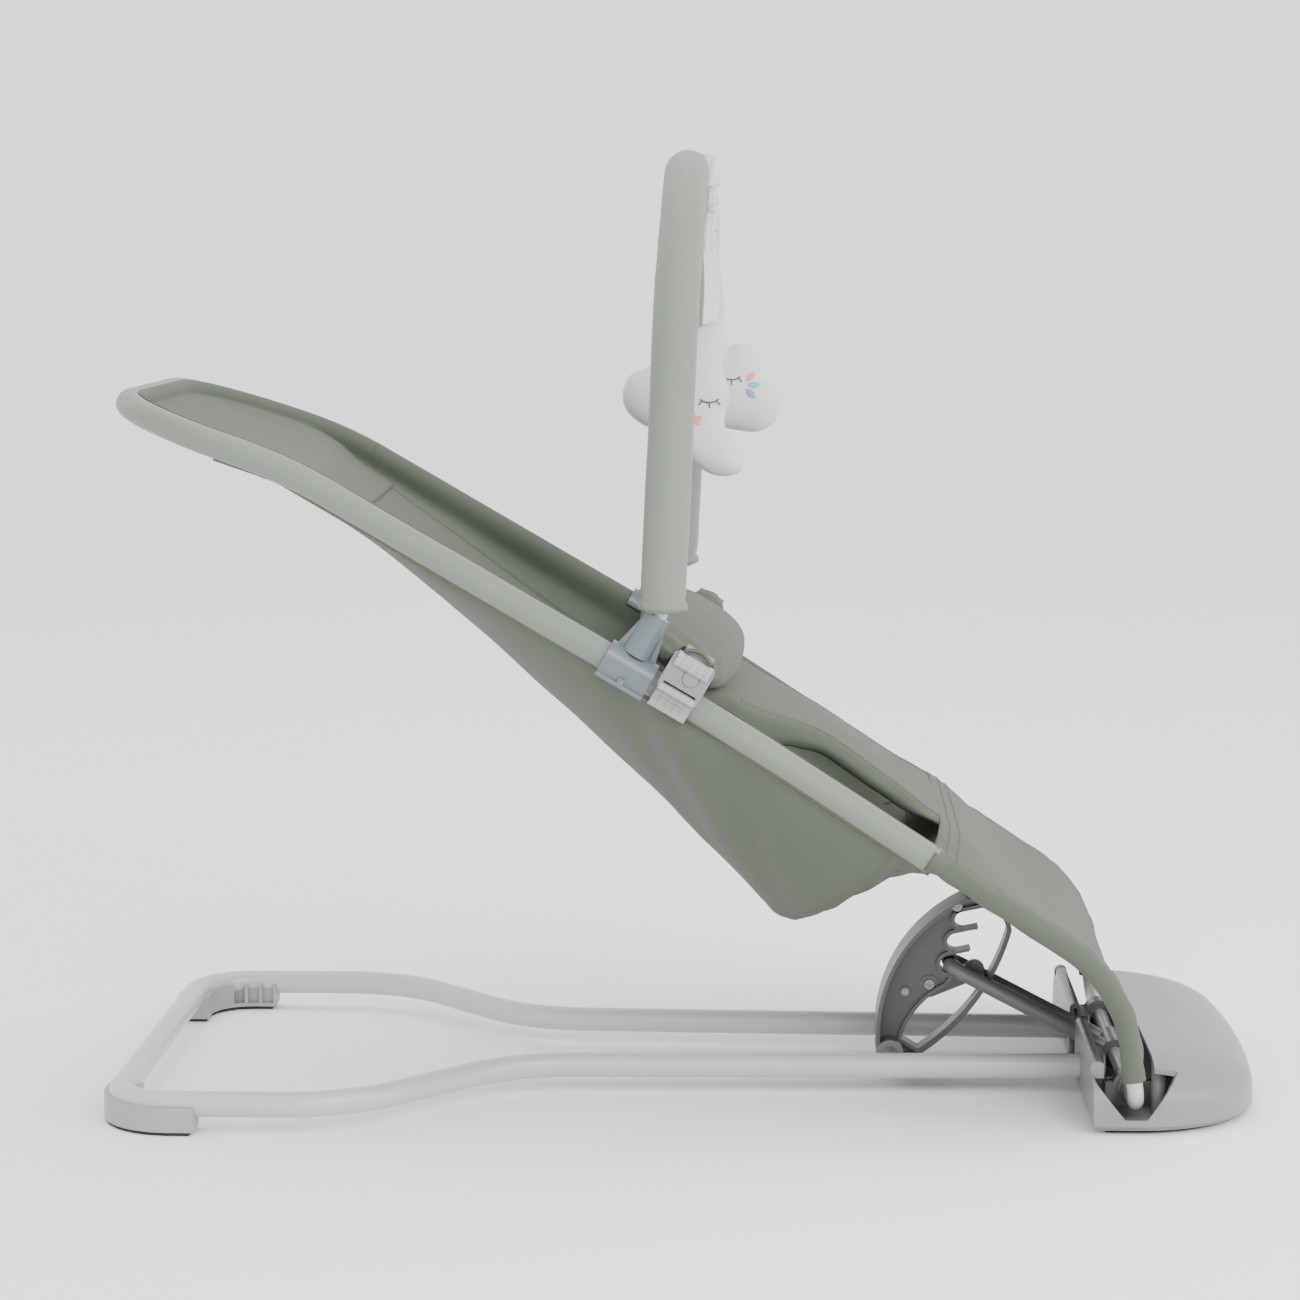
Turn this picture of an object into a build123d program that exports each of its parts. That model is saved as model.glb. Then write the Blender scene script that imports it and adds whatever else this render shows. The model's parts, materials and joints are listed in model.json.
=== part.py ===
from build123d import *
import os
from math import atan2, cos, degrees, hypot, radians, sin, sqrt

# Baby bouncer seat.  Millimetres.  +X points to the baby's feet, +Y to its left, +Z up.
# The origin is on the floor, in the middle of the footprint.

# ---------------------------------------------------------------- driving sizes
fit = 0.3             # gap between pieces that move past each other
running = 0.05        # radial gap of a shaft in its bearing
touch = 0.1           # gap between pieces of one body that only sit side by side

# base frame tube
base_tube_d = 19.0
base_tube_wall = 1.5
base_tube_z = 21.0            # height of the tube's centre
rear_x = -418.5               # centre of the rear crossbar
wide_half = 205.0             # half the spacing of the tubes at the rear
neck_half_rear = 77.0         # half the spacing where the neck begins
neck_half_front = 65.0        # half the spacing where the tubes enter the front base
neck_start_x = -132.0
shoulder_x = -247.0
corner_bend_r = 45.0
neck_bend_r = 110.0

# rear feet
foot_pad_t = 2.5
foot_wall = 3.5
foot_reach = 62.0             # along the side tube and along the crossbar
foot_top = 21.0

# front base
base_rear_x = 299.0
base_nose_x = 430.0
base_half_w = 190.0
base_h = 50.0
base_wall = 2.8
nose_bulge = 16.0
nose_corner_r = 95.0
sole_t = 3.0
plate_t = 3.0
shoulder_drop = 30.0          # how far the top rolls down at the rim
shoulder_run = 52.0           # how wide that rolled rim is

# axle of the seat, in the front base
axle_x = 331.0
axle_z = 20.0
leg_tube_d = 12.0
leg_tube_wall = 1.5
bush_wall = 3.0
bush_len = 20.0
bush_y = 118.0
saddle_t = 9.0

# seat hoop
seat_half = 182.0             # half the spacing of the side tubes
seat_tube_d = 16.0
seat_tube_wall = 1.5
head_x = -416.0
head_z = 528.0
nape_x = -290.0
nape_z = 485.0
waist_x = 30.0
waist_z = 299.0
knee_x = 319.0
knee_z = 110.8
split_x = 181.0               # where the upper hoop meets the leg tubes
head_corner_r = 95.0
nape_bend_r = 350.0
waist_bend_r = 1500.0
knee_bend_r = 100.0
elbow_bend_r = 16.0
tube_overlap = 36.0           # how far the leg tube reaches into the hoop
sleeve_d = 20.0
leg_sleeve_d = 16.0

# recline strut and its hinge on the base
pivot_x = 156.0
pivot_z = 18.6
cross_tube_d = 12.0
pivot_sleeve_wall = 1.6
hub_wall = 3.0
strut_half = 20.0             # half the width of the outer rim
strut_lip_half = 9.0          # half the width of the lips round the window
strut_web = 5.0               # web of one shell
strut_skin = 3.0
bar_d = 12.0
bar_half = 16.5               # half the spacing of the bail's legs
bail_bend_r = 13.0
notch_gap = 1.0               # room round the bar in a notch
notch_pitch = 7.0             # degrees of seat angle from notch to notch
notch_radius = 145.3
notch_start = 152.6           # direction of the lowest notch, seen from the axle
strut_follow = 0.37           # turn of the strut for each degree of the seat
latch_t = 3.0
latch_swing = 20              # degrees the fold lock turns, tip down

# toy bar
clamp_x = -41.0
clamp_len = 38.0
clamp_wall = 3.2
clamp_stalk = 44.0
toy_tube_d = 12.0
toy_sleeve_d = 34.0
toy_top_x = -2.0
toy_top_z = 699.0
toy_half_top = 168.0
toy_knee = 50.0               # where the bar bends upright, up from the side tube's axis
toy_corner_r = 158.0
toy_sleeve_start = 12.0       # foot of the padded roll above that bend

# harness buckle
buckle_x = -7.0
buckle_len = 33.0
buckle_high = 29.0
buckle_t = 10.0
buckle_lift = 17.0            # centre of the buckle above the tube's axis
button_d = 12.0
tongue_in = 6.0               # how far the tongue reaches into the buckle, clear of the button
tongue_out = 8.0
wing_t = 3.0
webbing_w = 32.0
webbing_t = 1.8

# fabric
sling_t = 4.0
sling_depth = 127.0
panel_t = 3.0
flap_t = 6.0
flap_side_gap = 22.0          # from the flap's widest place to the side tube's axis

# toys and ribbons
cloud_y = 80.0
moon_y = -38.0
toy_x = 12.0
ribbon_w = 10.0
ribbon_t = 1.2
ribbon_hang = 10.0            # the ribbon's turning point below the bar's axis
hem_d = 4.0
hem_half = 2.0
thread_d = 1.6
cloud_w = 126.0
cloud_h = 82.0
cloud_t = 34.0
moon_h = 118.0
moon_t = 26.0

# screws
screw_d = 4.0
screw_head_d = 8.0
screw_head_t = 2.6

tube_r = base_tube_d / 2
plate_top = sole_t + plate_t

# ---------------------------------------------------------------- lines and frames


def span(a, b):
    """Length, along-direction and angle of the step from a to b, both (x, z)."""
    dx, dz = b[0] - a[0], b[1] - a[1]
    return hypot(dx, dz), dx, dz


def between(a, b, x):
    """The height at x of the straight line through a and b, both (x, z)."""
    return a[1] + (b[1] - a[1]) * (x - a[0]) / (b[0] - a[0])


head = (head_x, head_z)
nape = (nape_x, nape_z)
waist = (waist_x, waist_z)
knee = (knee_x, knee_z)
split_z = between(waist, knee, split_x)
split = (split_x, split_z)


def seat_height(x):
    """Height of the side tube's axis at x, between the nape and the knee."""
    return between(nape, waist, x) if x < waist_x else between(waist, knee, x)


def tube_frame(x, side=0):
    """Plane on the side tube's axis: local x runs down the tube, local z stands off it."""
    a, b = (nape, waist) if x < waist_x else (waist, knee)
    length, dx, dz = span(a, b)
    return Plane(
        origin=(x, side * seat_half, seat_height(x)),
        x_dir=(dx / length, 0, dz / length),
        z_dir=(-dz / length, 0, dx / length),
    )


def polar(cx, cz, radius, angle):
    return cx + radius * cos(radians(angle)), cz + radius * sin(radians(angle))


def mirrored(part):
    return mirror(part, Plane.XZ)


def section_at(path, outline):
    """The outline placed square across the start of a path."""
    return Plane(origin=path @ 0, z_dir=path % 0) * outline


def rod(path, d):
    return sweep(section_at(path, Circle(d / 2)), path)


def pipe(path, d, wall):
    return rod(path, d) - rod(path, d - 2 * wall)


def across(x, z, d, y0, y1):
    """A round bar along Y."""
    bar = Cylinder(d / 2, y1 - y0, align=(Align.CENTER, Align.CENTER, Align.MIN))
    return Pos(x, y1, z) * Rot(90, 0, 0) * bar


def upright(x, y, z0, z1, d):
    bar = Cylinder(d / 2, z1 - z0, align=(Align.CENTER, Align.CENTER, Align.MIN))
    return Pos(x, y, z0) * bar


def block(x0, x1, y0, y1, z0, z1):
    box = Box(x1 - x0, y1 - y0, z1 - z0, align=(Align.MIN, Align.MIN, Align.MIN))
    return Pos(x0, y0, z0) * box


def slab(outline, y0, y1):
    """A flat outline drawn in x and z, given thickness from y0 to y1."""
    flat = Plane(origin=(0, y1, 0), x_dir=(1, 0, 0), z_dir=(0, -1, 0)) * outline
    return extrude(flat, y1 - y0)


def solid_of(shape):
    """The shape without any crumbs a cut leaves behind."""
    keep = [s for s in shape.solids() if s.volume > 1.0]
    return keep[0] if len(keep) == 1 else Compound(keep)


# ---------------------------------------------------------------- base frame


def base_line():
    side = [
        (base_rear_x + 19, -neck_half_front, base_tube_z),
        (neck_start_x, -neck_half_rear, base_tube_z),
        (shoulder_x, -wide_half, base_tube_z),
        (rear_x, -wide_half, base_tube_z),
    ]
    back = [(x, -y, z) for x, y, z in reversed(side)]
    radii = [neck_bend_r, neck_bend_r, corner_bend_r]
    return FilletPolyline(*side, *back, radius=radii + radii[::-1])


def base_frame_tube():
    return pipe(base_line(), base_tube_d, base_tube_wall)


def foot_line(reach):
    return FilletPolyline(
        (rear_x + reach, -wide_half),
        (rear_x, -wide_half),
        (rear_x, -wide_half + reach),
        radius=corner_bend_r,
    )


def foot_blank(width, reach, z0, z1):
    return Pos(0, 0, z0) * extrude(trace(foot_line(reach), width), z1 - z0)


def rear_foot():
    foot = foot_blank(base_tube_d + 2 * foot_wall, foot_reach, foot_pad_t, foot_top)
    foot -= rod(base_line(), base_tube_d)
    inner_y = -wide_half + tube_r + foot_wall
    for k in range(3):
        x = rear_x + corner_bend_r - 18 + k * 12
        foot -= block(x, x + 9, inner_y - 4, inner_y + 5, foot_pad_t + 3, foot_top + 1)
    return solid_of(foot)


def rear_foot_pad():
    return foot_blank(base_tube_d + foot_wall, foot_reach - 3, 0, foot_pad_t)


def strut_cross_tube():
    reach = neck_half_rear + tube_r
    outer = across(pivot_x, pivot_z, cross_tube_d, -reach, reach)
    inner = across(pivot_x, pivot_z, cross_tube_d - 3, -reach, reach)
    tube = outer - inner - rod(base_line(), base_tube_d)
    middle = [s for s in tube.solids() if abs(s.center().Y) < neck_half_front / 2]
    return middle[0]


# ---------------------------------------------------------------- front base


def base_outline(inset=0.0, rear_inset=None):
    """Plan of the front base: straight at the back, rounded at the nose."""
    w = base_half_w - inset
    rear = base_rear_x + (inset if rear_inset is None else rear_inset)
    nose = base_nose_x - inset
    front = nose - nose_bulge
    edge = Polyline((front, w), (rear, w), (rear, -w), (front, -w))
    edge += ThreePointArc((front, -w), (nose, 0), (front, w))
    face = make_face(edge)
    front_corners = face.vertices().sort_by(Axis.X)[-2:]
    return fillet(front_corners, nose_corner_r - inset)


def base_dome(inset=0.0):
    """The crowned volume of the top cover, or its hollow when inset by the wall."""
    top = base_h - inset
    wall_top = top - shoulder_drop
    body = extrude(Pos(0, 0, plate_top) * base_outline(inset), wall_top - plate_top)
    slices = []
    for turn in (0, 24, 46, 64, 80):
        shrink = shoulder_run * (1 - cos(radians(turn)))
        z = wall_top + shoulder_drop * sin(radians(turn))
        slices.append(Pos(0, 0, z) * base_outline(inset + shrink, inset))
    return body + loft(slices)


def axle_slot():
    """The trough that the legs and the fabric drop into, and the V at each end of it."""
    trough = block(base_rear_x + 9, axle_x + 14, -172, 172, axle_z + 6, base_h + 5)
    vee = Polygon(
        (axle_x - 9, axle_z - 9),
        (axle_x + 7, axle_z - 9),
        (axle_x + 24, axle_z + 13),
        (axle_x + 40, axle_z + 33),
        (axle_x - 42, axle_z + 33),
        (axle_x - 27, axle_z + 13),
        align=None,
    )
    for y0, y1 in ((-base_half_w - 5, -166), (166, base_half_w + 5)):
        trough += slab(vee, y0, y1)
    return trough


def bail_slot(x0, x1, z0):
    gap = bar_half + bar_d / 2 + 2
    return block(x0, x1, -gap, gap, z0, base_h + 5)


hinge_cover_x1 = base_rear_x + 9
hinge_cover_z0 = 37.0
hinge_cover_half = 168.0
boss_spots = [(350.0, -150.0), (350.0, 150.0), (395.0, -90.0), (395.0, 90.0), (405.0, 0.0)]
boss_d = 11.0


def base_top_cover():
    cover = base_dome() - base_dome(base_wall)
    cover -= axle_slot()
    ledge = block(base_rear_x - 1, hinge_cover_x1, -hinge_cover_half, hinge_cover_half, hinge_cover_z0, 60)
    cover -= ledge
    cover -= bail_slot(base_rear_x - 1, axle_x + 14, plate_top + 4)
    for side in (-1, 1):
        hole = Pos(base_rear_x, side * neck_half_front, base_tube_z) * Rot(0, 90, 0)
        cover -= hole * Cylinder(tube_r + 1.0, 12)
    posts = Part() + [upright(x, y, plate_top, base_h, boss_d) for x, y in boss_spots]
    cover += posts & base_dome(base_wall / 2)
    for x, y in boss_spots:
        cover -= upright(x, y, plate_top - 1, plate_top + 16, screw_d + 2 * running)
    return solid_of(cover)


def hinge_cover():
    """Right half of the rounded strip that closes the back of the trough, with a lip at its end."""
    x0, x1 = base_rear_x, hinge_cover_x1 - touch
    z0 = hinge_cover_z0 + touch
    half = hinge_cover_half - touch
    strip = block(x0, x1, -half, half, z0, base_h - 1)
    tops = strip.edges().filter_by(Axis.Y).group_by(Axis.Z)[-1]
    strip = fillet(tops, 4.0)
    strip -= block(x0 + 3, x1 - 3, -half + 5, half - 5, z0 - 1, base_h - 5)
    strip -= bail_slot(x0 - 1, x1 + 1, z0 - 1)
    lip = across((x0 + x1) / 2, base_h - 6, 11.0, -half, -half + 6)
    lip &= block(x0 - 2, x1, -half, half, z0 + 3, base_h + 2)
    return (strip + lip) & block(x0 - 5, x1 + 5, -half - 5, 0, 0, base_h + 5)


def base_bottom_plate():
    plate = extrude(Pos(0, 0, sole_t) * base_outline(3.0), plate_t)
    for x, y in boss_spots:
        plate -= upright(x, y, sole_t - 1, plate_top + 1, screw_d + 0.4)
        plate -= upright(x, y, sole_t - 1, sole_t + screw_head_t, screw_head_d + 0.4)
    return plate


def base_sole_pad():
    pad = extrude(base_outline(10.0), sole_t)
    for x, y in boss_spots:
        pad -= upright(x, y, -1, sole_t + 1, screw_head_d + 2)
    return pad


def base_screws():
    screws = []
    for x, y in boss_spots:
        head_z = sole_t + screw_head_t - touch
        screw = upright(x, y, sole_t, head_z, screw_head_d)
        screw += upright(x, y, head_z, plate_top + 14, screw_d)
        screw -= Pos(x, y, sole_t) * (Box(4.6, 1.0, 2.4) + Box(1.0, 4.6, 2.4))
        screws.append(screw)
    return Compound(screws)


def tube_clamp():
    """The block that holds one end of the base tube inside the front base."""
    y = -neck_half_front
    half = tube_r + 6
    x0 = base_rear_x + base_wall + 1
    clamp = block(x0, base_rear_x + 17, y - half, y + half, plate_top, base_tube_z + tube_r + 3)
    return clamp - rod(base_line(), base_tube_d + 2 * touch)


def bush_outer():
    return leg_tube_d + 2 * running + 2 * bush_wall


def axle_saddle():
    """Lower half of one axle bearing, standing on the bottom plate."""
    half = bush_outer() / 2 + saddle_t
    y0 = -bush_y - bush_len / 2 + 2
    y1 = -bush_y + bush_len / 2 - 2
    saddle = block(axle_x - half, axle_x + half, y0, y1, plate_top, axle_z - touch / 2)
    saddle -= across(axle_x, axle_z, bush_outer() + 2 * running, y0 - 1, y1 + 1)
    for side in (-1, 1):
        saddle -= upright(axle_x + side * (half - 3.2), (y0 + y1) / 2, plate_top, axle_z, 2.6)
    return saddle


def axle_cap():
    """Upper half of the bearing, held down by two screws."""
    half = bush_outer() / 2 + saddle_t
    y0 = -bush_y - bush_len / 2 + 2
    y1 = -bush_y + bush_len / 2 - 2
    dome = across(axle_x, axle_z, 2 * bush_outer() / 2 + 7, y0, y1)
    dome &= block(axle_x - half, axle_x + half, y0, y1, axle_z, axle_z + half)
    cap = block(axle_x - half, axle_x + half, y0, y1, axle_z, axle_z + 3.5) + dome
    cap -= across(axle_x, axle_z, bush_outer() + 2 * running, y0 - 1, y1 + 1)
    for side in (-1, 1):
        cap -= upright(axle_x + side * (half - 3.2), (y0 + y1) / 2, axle_z - 1, axle_z + 9, 2.8)
    return cap


def axle_cap_screws():
    half = bush_outer() / 2 + saddle_t
    screws = []
    for y in (-bush_y, bush_y):
        for side in (-1, 1):
            x = axle_x + side * (half - 3.2)
            shank = upright(x, y, plate_top + 2, axle_z + 3.5 + touch, 2.5)
            screws.append(shank + upright(x, y, axle_z + 3.5 + touch, axle_z + 5.3, 5.0))
    return Compound(screws)


def axle_bushes():
    """The two plastic bushes that turn in the saddles and carry the seat's axle."""
    bushes = []
    for y in (-bush_y, bush_y):
        y0, y1 = y - bush_len / 2, y + bush_len / 2
        ring = across(axle_x, axle_z, bush_outer(), y0, y1)
        bushes.append(ring - across(axle_x, axle_z, leg_tube_d + 2 * running, y0 - 1, y1 + 1))
    return Compound(bushes)


# ---------------------------------------------------------------- recline strut


def notch_spots():
    """Centres of the three notches in the strut, lowest first, in the strut's rest place."""
    spots = []
    for k in range(3):
        x, z = polar(axle_x, axle_z, notch_radius, notch_start - k * notch_pitch)
        reach, dx, dz = span((pivot_x, pivot_z), (x, z))
        turn = degrees(atan2(dz, dx)) + strut_follow * notch_pitch * k
        spots.append(polar(pivot_x, pivot_z, reach, turn))
    return spots


def leaf_outline():
    """Side view of the whole strut: a half moon with a straight-ish front edge."""
    low_back = (pivot_x - 9, pivot_z - 5)
    low_front = (pivot_x + 22, pivot_z - 5)
    top = (pivot_x + 58, pivot_z + 122.5)
    front = (pivot_x + 94.5, pivot_z + 95.5)
    edge = ThreePointArc(low_back, (pivot_x + 7, pivot_z + 77.5), top)
    edge += ThreePointArc(top, (pivot_x + 81, pivot_z + 117), front)
    edge += ThreePointArc(front, (pivot_x + 71, pivot_z + 43.5), low_front)
    edge += Line(low_front, low_back)
    return make_face(edge)


def window_outline():
    """The opening that the bar travels in, with its three notches."""
    spots = notch_spots()
    room = bar_d / 2 + notch_gap
    waist_point = (pivot_x + 44, pivot_z + 51)
    edge = ThreePointArc((pivot_x + 9, pivot_z + 9), (pivot_x + 22, pivot_z + 33.5), waist_point)
    edge += ThreePointArc(
        waist_point, (pivot_x + 62, pivot_z + 80), (pivot_x + 71, pivot_z + 113)
    )
    edge += ThreePointArc(
        (pivot_x + 71, pivot_z + 113), (pivot_x + 83, pivot_z + 109), (pivot_x + 90.5, pivot_z + 95)
    )
    edge += ThreePointArc(
        (pivot_x + 90.5, pivot_z + 95), (pivot_x + 67.5, pivot_z + 45.5), (pivot_x + 22, pivot_z + 1)
    )
    edge += Line((pivot_x + 22, pivot_z + 1), (pivot_x + 9, pivot_z + 9))
    opening = make_face(edge)
    for x, z in spots:
        ahead_x, ahead_z = polar(x, z, 15, 12)
        slot = Pos(x, z) * Circle(room) + Pos(ahead_x, ahead_z) * Circle(room)
        middle = Pos((x + ahead_x) / 2, (z + ahead_z) / 2) * Rot(0, 0, 12) * Rectangle(15, 2 * room)
        opening += slot + middle
    return opening


def strut_blank():
    """Rim, web and window lips of one shell, between the middle plane and one side."""
    leaf = leaf_outline()
    window = window_outline()
    rim = leaf - offset(leaf, -strut_skin, kind=Kind.INTERSECTION)
    back = Polygon(
        (pivot_x - 30, pivot_z - 30),
        (pivot_x + 6, pivot_z - 30),
        (pivot_x + 6, pivot_z + 20),
        (pivot_x + 77, pivot_z + 100),
        (pivot_x + 77, pivot_z + 150),
        (pivot_x - 30, pivot_z + 150),
        align=None,
    )
    lips = (offset(window, strut_skin) - window) & leaf
    shell = slab(rim & back, -strut_half, 0)
    shell += slab(rim - back, -strut_lip_half, 0)
    shell += slab(leaf - window, -strut_web, 0)
    shell += slab(lips, -strut_lip_half, 0)
    shell -= slab(window, -strut_half - 1, 1)
    return shell


screw_spot = (pivot_x + 30.8, pivot_z + 51.4)
rivet_spot = (pivot_x + 12.1, pivot_z + 45.7)
top_screw_spot = (pivot_x + 52.0, pivot_z + 113.5)
hub_bore = cross_tube_d + 2 * running + 2 * pivot_sleeve_wall + 2 * running
hub_outer = hub_bore + 2 * hub_wall


def strut_shell():
    shell = strut_blank()
    shell += across(pivot_x, pivot_z, hub_outer, -strut_half, 0)
    for x, z in (rivet_spot, top_screw_spot):
        shell += across(x, z, 9, -strut_web - 1.2, 0)
    ring = across(screw_spot[0], screw_spot[1], 15, -strut_web - 0.8, 0)
    shell += ring - slab(window_outline(), -strut_half, 1)
    for x, z in (screw_spot, top_screw_spot):
        shell -= across(x, z, screw_head_d + 1.0, -strut_half, -strut_web + 1.6)
    for x, z in (screw_spot, top_screw_spot, rivet_spot):
        shell -= across(x, z, screw_d + 0.2, -strut_half, 1)
    shell -= across(pivot_x, pivot_z, hub_bore, -strut_half - 1, 1)
    shell -= latch_room()
    return solid_of(shell - block(-500, 500, -touch / 2, 50, -10, 300))


def latch_outline(grow=0.0):
    """Side view of the fold lock: a hooked lever that turns on the strut's screw."""
    x, z = screw_spot
    hook = polar(x, z, 37, 18)
    lever = Pos(x, z) * Circle(10.5 + grow)
    lever += Pos(*hook) * Circle(8.0 + grow)
    joint = make_hull(
        (Pos(x, z - 3) * Circle(8.0 + grow)).edges() + (Pos(hook[0], hook[1] - 1) * Circle(7 + grow)).edges()
    )
    lever += joint
    rest = notch_spots()[0]
    bite = Pos(*rest) * Circle(bar_d / 2 + notch_gap - grow)
    return lever - bite if grow == 0.0 else lever


def latch_room():
    """The pocket between the shells that the fold lock swings in."""
    x, z = screw_spot
    swept = Sketch()
    for turn in range(0, latch_swing + 1, 5):
        swept += Pos(x, z) * Rot(0, 0, -turn) * Pos(-x, -z) * latch_outline(1.0)
    return slab(swept, -latch_t / 2 - fit, latch_t / 2 + fit)


def fold_lock_lever():
    lever = slab(latch_outline(), -latch_t / 2, latch_t / 2)
    x, z = screw_spot
    lever -= across(x, z, screw_d + 2 * running, -10, 10)
    return solid_of(lever)


def strut_screws():
    screws = []
    for x, z in (screw_spot, top_screw_spot):
        face = -strut_web + 1.6
        screw = across(x, z, screw_head_d, face - screw_head_t, face - touch)
        screw += across(x, z, screw_d, face - touch, strut_web)
        screw -= Pos(x, face - screw_head_t, z) * (Box(4.8, 2.4, 1.1) + Box(1.1, 2.4, 4.8))
        nut = across(x, z, screw_head_d, strut_web - 1.6 + touch, strut_web + 0.5)
        screws.append(screw + nut)
    return Compound(screws)


def strut_rivet():
    x, z = rivet_spot
    pin = across(x, z, screw_d, -strut_web - 1.3, strut_web + 1.3)
    near_head = across(x, z, 6, -strut_web - 2.0, -strut_web - 1.3)
    far_head = across(x, z, 6, strut_web + 1.3, strut_web + 2.0)
    return pin + near_head + far_head


def strut_pivot_sleeve():
    """The split sleeve between the cross tube and the strut's hub."""
    d = cross_tube_d + 2 * running
    half = strut_half + 3
    sleeve = across(pivot_x, pivot_z, d + 2 * pivot_sleeve_wall, -half, half)
    for y0 in (-half, strut_half + fit):
        sleeve += across(pivot_x, pivot_z, hub_outer, y0, y0 + 3 - fit)
    return sleeve - across(pivot_x, pivot_z, d, -half - 1, half + 1)


# ---------------------------------------------------------------- seat frame


def upper_line():
    side = [
        (split_x, -seat_half, split_z),
        (waist_x, -seat_half, waist_z),
        (nape_x, -seat_half, nape_z),
        (head_x, -seat_half, head_z),
    ]
    far = [(x, -y, z) for x, y, z in reversed(side)]
    radii = [waist_bend_r, nape_bend_r, head_corner_r]
    return FilletPolyline(*side, *far, radius=radii + radii[::-1])


def lower_line(start):
    side = [
        (*start[:1], -seat_half, start[1]),
        (knee_x, -seat_half, knee_z),
        (axle_x, -seat_half, axle_z),
    ]
    far = [(x, -y, z) for x, y, z in reversed(side)]
    radii = [knee_bend_r, elbow_bend_r]
    return FilletPolyline(*side, *far, radius=radii + radii[::-1])


def inside_split():
    """Where the leg tube ends, inside the hoop."""
    length, dx, dz = span(waist, knee)
    return split_x - tube_overlap * dx / length, split_z - tube_overlap * dz / length


def seat_tube_upper():
    return pipe(upper_line(), seat_tube_d, seat_tube_wall)


def seat_tube_lower():
    return pipe(lower_line(inside_split()), leg_tube_d, leg_tube_wall)


def tube_connector():
    """Plastic ferrule that fills the gap between the leg tube and the hoop."""
    start, end = inside_split(), split
    path = Line((start[0], -seat_half, start[1]), (end[0], -seat_half, end[1]))
    d = seat_tube_d - 2 * seat_tube_wall - 0.06
    body = rod(path, d) - rod(path, leg_tube_d + 0.06)
    flange_path = Line(path @ 1, (path @ 1) + (path % 1) * 2.5)
    flange = rod(flange_path, seat_tube_d) - rod(flange_path, leg_tube_d + 0.06)
    return body + flange


def sleeve_upper():
    """The padded fabric tube round the hoop."""
    line = upper_line()
    return rod(line, sleeve_d) - rod(line, seat_tube_d + 2 * touch)


def leg_sleeve():
    """The plain fabric tube round one leg, down to just above the front base."""
    end_z = axle_z + 19
    low = (axle_x - (end_z - axle_z) * (axle_x - knee_x) / (knee_z - axle_z), end_z)
    length, dx, dz = span(waist, knee)
    start = (split_x + 3.5 * dx / length, split_z + 3.5 * dz / length)
    path = FilletPolyline(
        (start[0], -seat_half, start[1]),
        (knee_x, -seat_half, knee_z),
        (low[0], -seat_half, low[1]),
        radius=knee_bend_r,
    )
    return rod(path, leg_sleeve_d) - rod(path, leg_tube_d + 2 * touch)


def bail_line():
    """One leg of the bail: from the axle hub out to the bar that sits in the strut's notch."""
    bar_x, bar_z = polar(axle_x, axle_z, notch_radius, notch_start)
    near_x, near_z = polar(axle_x, axle_z, leg_tube_d / 2 + 4, notch_start)
    return FilletPolyline(
        (near_x, -bar_half, near_z), (bar_x, -bar_half, bar_z), (bar_x, 0, bar_z), radius=bail_bend_r
    )


def recline_bail():
    """Both legs of the bail and its hub on the axle; the bar is open where the strut passes."""
    leg = pipe(bail_line(), bar_d, 1.5)
    leg -= block(-500, 600, -strut_lip_half - 0.6, 50, -50, 300)
    hub = across(axle_x, axle_z, leg_tube_d + 11, -bar_half - bar_d / 2, bar_half + bar_d / 2)
    hub -= across(axle_x, axle_z, leg_tube_d + 2 * touch, -60, 60)
    leg -= across(axle_x, axle_z, leg_tube_d + 11, -60, 60)
    return Compound([hub, solid_of(leg), mirrored(solid_of(leg))])


# ---------------------------------------------------------------- toy bar


def toy_clamp():
    """Snap-on clamp: a saddle over the sleeved tube, open below, with a ribbed stalk."""
    inner = sleeve_d / 2 + fit
    outer = inner + clamp_wall
    saddle = Rot(0, 90, 0) * Cylinder(outer, clamp_len)
    skirt = Box(clamp_len, 2 * outer, outer, align=(Align.CENTER, Align.CENTER, Align.MAX))
    body = saddle + skirt
    body -= Rot(0, 90, 0) * Cylinder(inner, clamp_len + 2)
    body -= Box(clamp_len + 2, 2 * inner, 2 * outer, align=(Align.CENTER, Align.CENTER, Align.MAX))
    body -= Box(clamp_len + 2, 2 * outer, 2 * outer, align=(Align.CENTER, Align.MIN, Align.MAX))
    lip = Box(clamp_len, 3.0, 3.0, align=(Align.CENTER, Align.CENTER, Align.MIN))
    body += Pos(0, -outer - 0.8, -outer) * lip
    tab = Box(5, 2.0, 5, align=(Align.CENTER, Align.CENTER, Align.MIN))
    body += Pos(0, -outer - 1.6, -outer + 2) * tab
    stalk_r = toy_tube_d / 2 + 3
    stalk = Cone(stalk_r + 2, stalk_r, clamp_stalk - outer + 2, align=(Align.CENTER, Align.CENTER, Align.MIN))
    stalk = Pos(0, 0, outer - 2) * stalk
    low, high = outer - 2, clamp_stalk - 4
    rib = Polygon((-16, low), (16, low), (stalk_r, high), (-stalk_r, high), align=None)
    stalk += slab(rib, -1.6, 1.6)
    stalk -= Pos(0, 0, outer + 3) * Cylinder(
        toy_tube_d / 2 + touch, clamp_stalk, align=(Align.CENTER, Align.CENTER, Align.MIN)
    )
    return tube_frame(clamp_x, -1).location * (body + stalk)


def toy_bend():
    return tube_frame(clamp_x, -1).from_local_coords(Vector(0, 0, toy_knee))


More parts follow.
